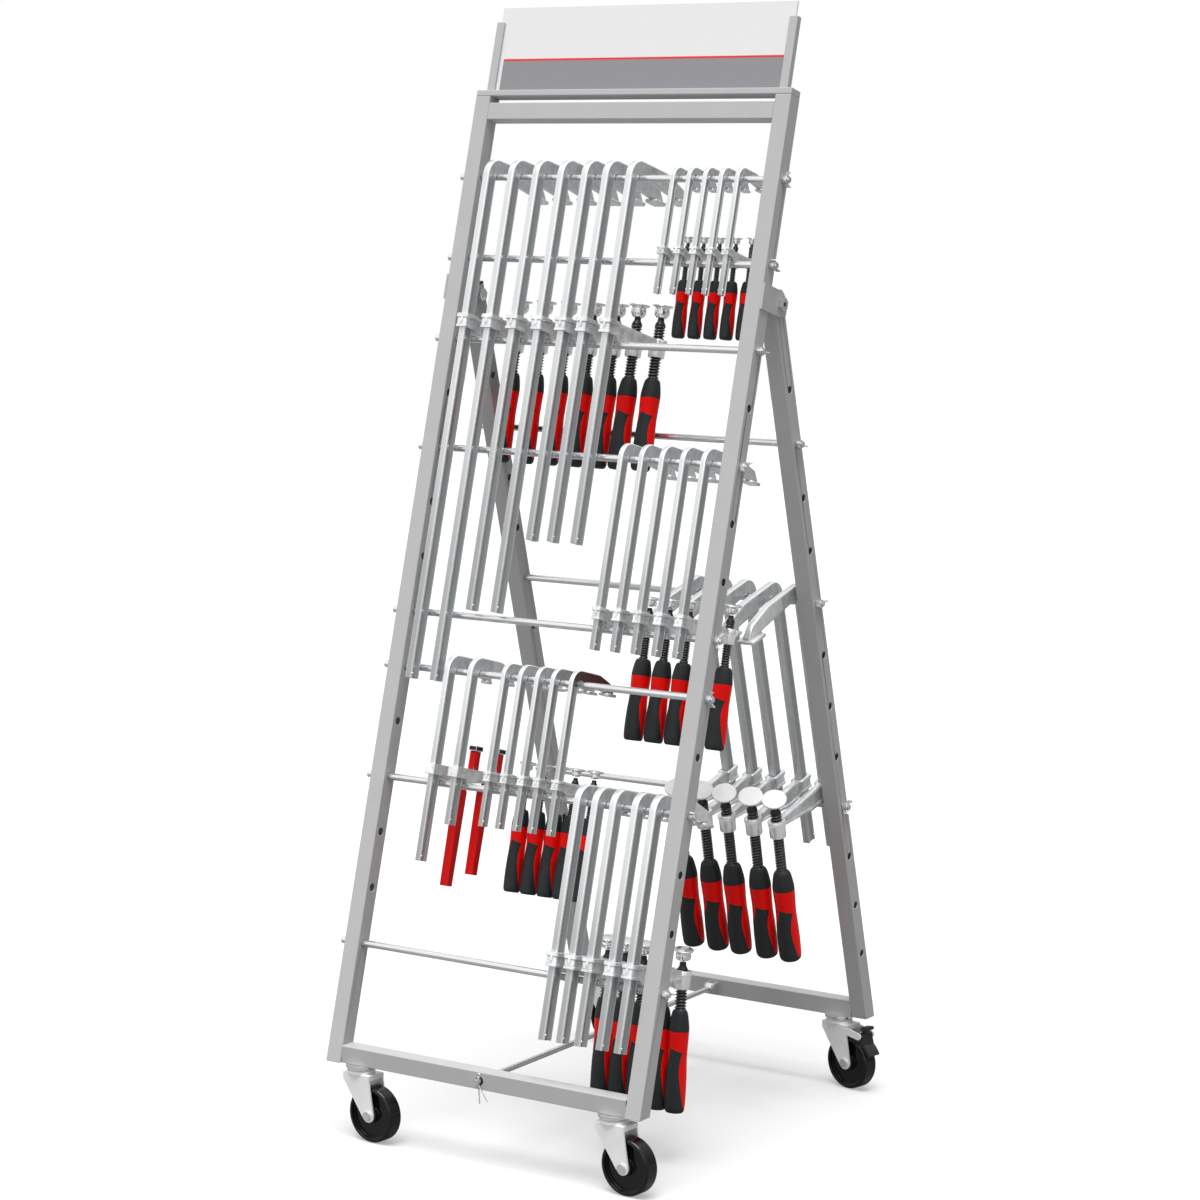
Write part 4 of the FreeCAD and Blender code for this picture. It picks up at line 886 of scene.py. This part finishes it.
# Pads: a bell socket with a brim, or a plain disc on the back row. Shoulder, neck and ball lie below the
# pad's top, and the socket's foot, by row, below the ball, all by shares of the spindle's diameter.
SHOULDER_DOWN = 1.9
NECK_DOWN = 1.15
NECK_SHARE = 0.66
NECK_SINK = 0.5
BALL_DOWN = 0.78
SOCKET_SHARE = 0.68
FOOT_DOWN = {1: 0.42, 2: 0.42, 3: 0.2, 4: 0.2, 5: 0.2}
RIM_SHARE = 0.1134
RIM_LIMIT = 2.6
BRIM_SHARE = 1.12
SOCKET_ROUNDING = 0.16
DISC_HEIGHT = 3.2
DISC_DOWN = 9.0
SCREW_SIDES = 24
SOCKET_SIDES = 32
DISC_SIDES = 48
THREAD_GAP = 0.01


def spindle_shapes(number, row, thread, pad, matrix, pad_turn):
    """A spindle's thread with its neck, and its swivel pad."""
    clamp = row["clamp"]
    spindle = clamp["spindle"]
    radius = spindle / 2
    pad_radius = clamp["pad"] / 2
    shoulder = row["pad"] - spindle * SHOULDER_DOWN
    points, faces, slots = thread_mesh(radius, -row["drop"] + THREAD_GAP, shoulder,
                                       spindle * THREAD_PITCH_SHARE, radius * THREAD_DEPTH_SHARE)
    thread.add(points, faces, matrix, slots)
    end = row["pad"] - spindle * NECK_DOWN
    low = shoulder - NECK_SINK
    neck = [(0, low), (radius * 0.97, low), (radius * 0.92, shoulder + radius * 0.3),
            (radius * NECK_SHARE * 0.9, end - radius * 0.6), (radius * NECK_SHARE * 0.86, end), (0, end)]
    thread.add(*lathe(smooth_profile(neck, 1.0), SCREW_SIDES), matrix)
    if number == BACK_ROW:
        disc = [(0, -DISC_HEIGHT), (pad_radius * 0.94, -DISC_HEIGHT), (pad_radius, -DISC_HEIGHT * 0.7),
                (pad_radius, -DISC_HEIGHT * 0.25), (pad_radius * 0.97, 0), (0, 0)]
        seat = Matrix.Translation((0, 0, row["pad"] - DISC_DOWN))
        pad.add(*lathe(disc, DISC_SIDES), matrix @ seat @ pad_turn, 1)
        return
    ball = row["pad"] - spindle * BALL_DOWN
    rise = row["pad"] - ball
    rim = min(clamp["pad"] * RIM_SHARE, RIM_LIMIT)
    socket = spindle * SOCKET_SHARE
    foot = -spindle * FOOT_DOWN[number]
    brim = pad_radius * BRIM_SHARE
    profile = [(0, foot), (socket * 0.6, foot), (socket * 0.84, foot * 0.6), (socket, foot * 0.1),
               (socket, rise * 0.35), (socket * 0.9, rise * 0.55), (socket * 1.05, rise - rim * 1.1),
               (brim * 0.95, rise - rim), (brim, rise - rim * 0.5), (brim * 0.97, rise), (0, rise)]
    bell = smooth_profile(profile, socket * SOCKET_ROUNDING)
    pad.add(*lathe(bell, SOCKET_SIDES), matrix @ Matrix.Translation((0, 0, ball)) @ pad_turn)


# By row: how far the pads hang over, in degrees. By row, where it isn't zero: the grips' turn about their
# axis in degrees, and how much lower their inlay sits.
PAD_TURNS = {1: (4, 3), 2: (5, 4), 3: (6, 5), 4: (5, 4), 5: (8, 6), 6: (24, 17)}
PAD_WOBBLE = 6
WOBBLE_ROW = 3.1
WOBBLE_STEP = 1.7
WOBBLE_PLANE = 0.5
GRIP_TWIST = {6: 4}
INLAY_LOWER = {6: 0.08}

for number, row in ROWS.items():
    clamp = row["clamp"]
    grips, threads, pads = Shape(), Shape(), Shape()
    screws_body = "row_%d_screws" % number
    for index, x in enumerate(row["x"]):
        matrix = spindle_matrix(number, row, x)
        facing = TURN_BACK if number == BACK_ROW else Matrix.Identity(4)
        twist = Matrix.Rotation(math.radians(GRIP_TWIST.get(number, 0)), 4, "Z")
        points, faces, slots = grip_mesh(clamp["grip_d"], clamp["grip_l"], -row["drop"],
                                         INLAY_LOWER.get(number, 0.0))
        grips.add(points, faces, matrix @ facing @ twist, slots)
        lean_x, lean_y = PAD_TURNS[number]
        wobble = noise.noise(Vector((number * WOBBLE_ROW, index * WOBBLE_STEP, WOBBLE_PLANE)))
        over = Matrix.Rotation(math.radians(lean_x + PAD_WOBBLE * wobble), 4, "X")
        aside = Matrix.Rotation(math.radians(lean_y * (1 + wobble)), 4, "Y")
        pad_turn = facing @ over @ aside
        spindle_shapes(number, row, threads, pads, matrix, pad_turn)
    grips.piece("row_%d_grips" % number, screws_body, [grip_red, grip_black],
                ["row_%d_handles" % number], "handle_plastic", sharp=50.0)
    threads.piece("row_%d_threads" % number, screws_body, [thread_black, painted_crest_glint],
                  ["row_%d_spindles" % number], "black_steel", sharp=60.0)
    pads.piece("row_%d_pads" % number, screws_body, [chrome, pad_plate], (), "clamp_steel")


# Sign face: plain bands of colour with no lettering
SIGN_LOW = 1419.0
SIGN_HALF = 247.7
SIGN_FRONT = ROD_DEPTH - 1.5
STRIPE_LEFT = 14
STRIPE_RIGHT = 1
BAND_LOW, BAND_HIGH, RULE_HIGH = 0.5, 46, 49
BAND_THICKNESS = 0.25
RULE_THICKNESS = 0.3


def add_stripe(name, low, high, thickness, material):
    """A thin stripe on the sign's face, between two heights over its lower edge."""
    left, right = -SIGN_HALF + STRIPE_LEFT, SIGN_HALF - STRIPE_RIGHT
    lower, upper = SIGN_LOW + low, SIGN_LOW + high
    corners = ((left, lower), (right, lower), (right, upper), (left, upper))
    points = [(x, t, s) for t in (SIGN_FRONT - thickness, SIGN_FRONT) for x, s in corners]
    faces = [[0, 1, 2, 3], [7, 6, 5, 4]]
    faces += [[k, k + 4, (k + 1) % 4 + 4, (k + 1) % 4] for k in range(4)]
    stripe = Shape()
    stripe.add(points, faces, FRONT)
    stripe.piece(name, "frame", [material], (), "sign_plastic")


add_stripe("sign_lower_band", BAND_LOW, BAND_HIGH, BAND_THICKNESS, sign_band)
add_stripe("sign_red_rule", BAND_HIGH, RULE_HIGH, RULE_THICKNESS, sign_red)


# Camera: the photograph's viewpoint, as solved from the posts, rods and holes
CAMERA_AT = Vector((2530.7, -3534.3, 1279.8 + CASTER_HEIGHT))
YAW, PITCH, ROLL = 0.5832, 0.1368, 0.0035
FOCAL_PIXELS = 3253.3
PICTURE_PIXELS = 1200.0
SENSOR = 36.0
CLIP_NEAR = 0.1
CLIP_FAR = 50.0


def make_camera():
    forward = Vector((-math.sin(YAW) * math.cos(PITCH), math.cos(YAW) * math.cos(PITCH), -math.sin(PITCH)))
    right = Vector((math.cos(YAW), math.sin(YAW), 0))
    up = right.cross(forward)
    right_rolled = right * math.cos(ROLL) + up * math.sin(ROLL)
    up_rolled = up * math.cos(ROLL) - right * math.sin(ROLL)
    turn = Matrix((right_rolled, up_rolled, -forward)).transposed().to_4x4()
    data = bpy.data.cameras.new("camera")
    data.sensor_width = SENSOR
    data.lens = FOCAL_PIXELS * SENSOR / PICTURE_PIXELS
    data.clip_start = CLIP_NEAR
    data.clip_end = CLIP_FAR
    camera = bpy.data.objects.new("camera", data)
    camera.matrix_world = Matrix.Translation((CAMERA_AT + SHIFT) * MM) @ turn
    bpy.context.scene.collection.objects.link(camera)
    bpy.context.scene.camera = camera


make_camera()

# Light: a broad soft key from above, a little in front, and a pale room. The room's levels are strengths
# from its darkest to its brightest direction, for the light it gives and for its reflection.
KEY_STRENGTH = 3.6
KEY_WIDTH = math.radians(38)
KEY_FROM = (0.08, -0.24, 1.0)
SKY_FROM = (-0.30, -0.42, 0.86)
ROOM_FACING = (-0.45, 0.8)
ROOM_LEVELS = (0.2, 0.62)
SHINE_FACING = (-0.45, 0.75)
SHINE_LEVELS = (0.3, 1.3)


def make_light():
    data = bpy.data.lights.new("key", "SUN")
    data.energy = KEY_STRENGTH
    data.angle = KEY_WIDTH
    key = bpy.data.objects.new("key", data)
    key.rotation_mode = "QUATERNION"
    key.rotation_quaternion = Vector(KEY_FROM).normalized().to_track_quat("Z", "Y")
    bpy.context.scene.collection.objects.link(key)


def room_level(tree, facing, between, levels):
    """A strength that rises with how far a direction faces the sky."""
    node = tree.nodes.new("ShaderNodeMapRange")
    node.inputs["From Min"].default_value, node.inputs["From Max"].default_value = between
    node.inputs["To Min"].default_value, node.inputs["To Max"].default_value = levels
    tree.links.new(facing.outputs["Value"], node.inputs["Value"])
    return node


def make_world():
    """White behind the object; for its light a pale room, brighter above, in front and on the left."""
    world = bpy.data.worlds.new("room")
    world.use_nodes = True
    bpy.context.scene.world = world
    tree = world.node_tree
    background = tree.nodes["Background"]
    background.inputs["Color"].default_value = (1, 1, 1, 1)
    path = tree.nodes.new("ShaderNodeLightPath")
    coordinates = tree.nodes.new("ShaderNodeTexCoord")
    facing = tree.nodes.new("ShaderNodeVectorMath")
    facing.operation = "DOT_PRODUCT"
    facing.inputs[1].default_value = SKY_FROM
    tree.links.new(coordinates.outputs["Generated"], facing.inputs[0])
    room = room_level(tree, facing, ROOM_FACING, ROOM_LEVELS)
    shine = room_level(tree, facing, SHINE_FACING, SHINE_LEVELS)
    shine.interpolation_type = "SMOOTHSTEP"
    glossy = tree.nodes.new("ShaderNodeMix")
    tree.links.new(path.outputs["Is Glossy Ray"], glossy.inputs[0])
    tree.links.new(room.outputs["Result"], glossy.inputs[2])
    tree.links.new(shine.outputs["Result"], glossy.inputs[3])
    white = tree.nodes.new("ShaderNodeMath")
    white.operation = "MAXIMUM"
    tree.links.new(path.outputs["Is Camera Ray"], white.inputs[0])
    tree.links.new(path.outputs["Is Transmission Ray"], white.inputs[1])
    level = tree.nodes.new("ShaderNodeMix")
    level.inputs[3].default_value = 1.0
    tree.links.new(white.outputs[0], level.inputs[0])
    tree.links.new(glossy.outputs[0], level.inputs[2])
    tree.links.new(level.outputs[0], background.inputs["Strength"])


make_light()
make_world()

# Floor: half its width in metres, its tone and glow as the camera sees it, and its tone for bounced light
FLOOR_REACH = 12.0
FLOOR_SEEN = 0.5
FLOOR_GLOW = 0.36
FLOOR_BOUNCE = 0.3


def floor_material():
    """Seen directly the floor is near white and keeps soft shadows; it throws little light back up."""
    material = bpy.data.materials.new("floor_pale")
    material.use_nodes = True
    tree = material.node_tree
    tree.nodes.remove(tree.nodes["Principled BSDF"])
    output = tree.nodes["Material Output"]
    seen = tree.nodes.new("ShaderNodeBsdfDiffuse")
    seen.inputs["Color"].default_value = (FLOOR_SEEN, FLOOR_SEEN, FLOOR_SEEN, 1)
    glow = tree.nodes.new("ShaderNodeEmission")
    glow.inputs["Strength"].default_value = FLOOR_GLOW
    bounce = tree.nodes.new("ShaderNodeBsdfDiffuse")
    bounce.inputs["Color"].default_value = (FLOOR_BOUNCE, FLOOR_BOUNCE, FLOOR_BOUNCE, 1)
    both = tree.nodes.new("ShaderNodeAddShader")
    tree.links.new(seen.outputs[0], both.inputs[0])
    tree.links.new(glow.outputs[0], both.inputs[1])
    choice = tree.nodes.new("ShaderNodeMixShader")
    path = tree.nodes.new("ShaderNodeLightPath")
    tree.links.new(path.outputs["Is Camera Ray"], choice.inputs[0])
    tree.links.new(bounce.outputs[0], choice.inputs[1])
    tree.links.new(both.outputs[0], choice.inputs[2])
    tree.links.new(choice.outputs[0], output.inputs["Surface"])
    return material


def make_floor():
    mesh = bpy.data.meshes.new("floor")
    reach = FLOOR_REACH
    corners = [(-reach, -reach, 0), (reach, -reach, 0), (reach, reach, 0), (-reach, reach, 0)]
    mesh.from_pydata(corners, [], [(0, 1, 2, 3)])
    mesh.materials.append(floor_material())
    floor = bpy.data.objects.new("floor", mesh)
    bpy.context.scene.collection.objects.link(floor)


make_floor()
bpy.context.scene.view_settings.view_transform = "Standard"

bpy.context.view_layer.update()
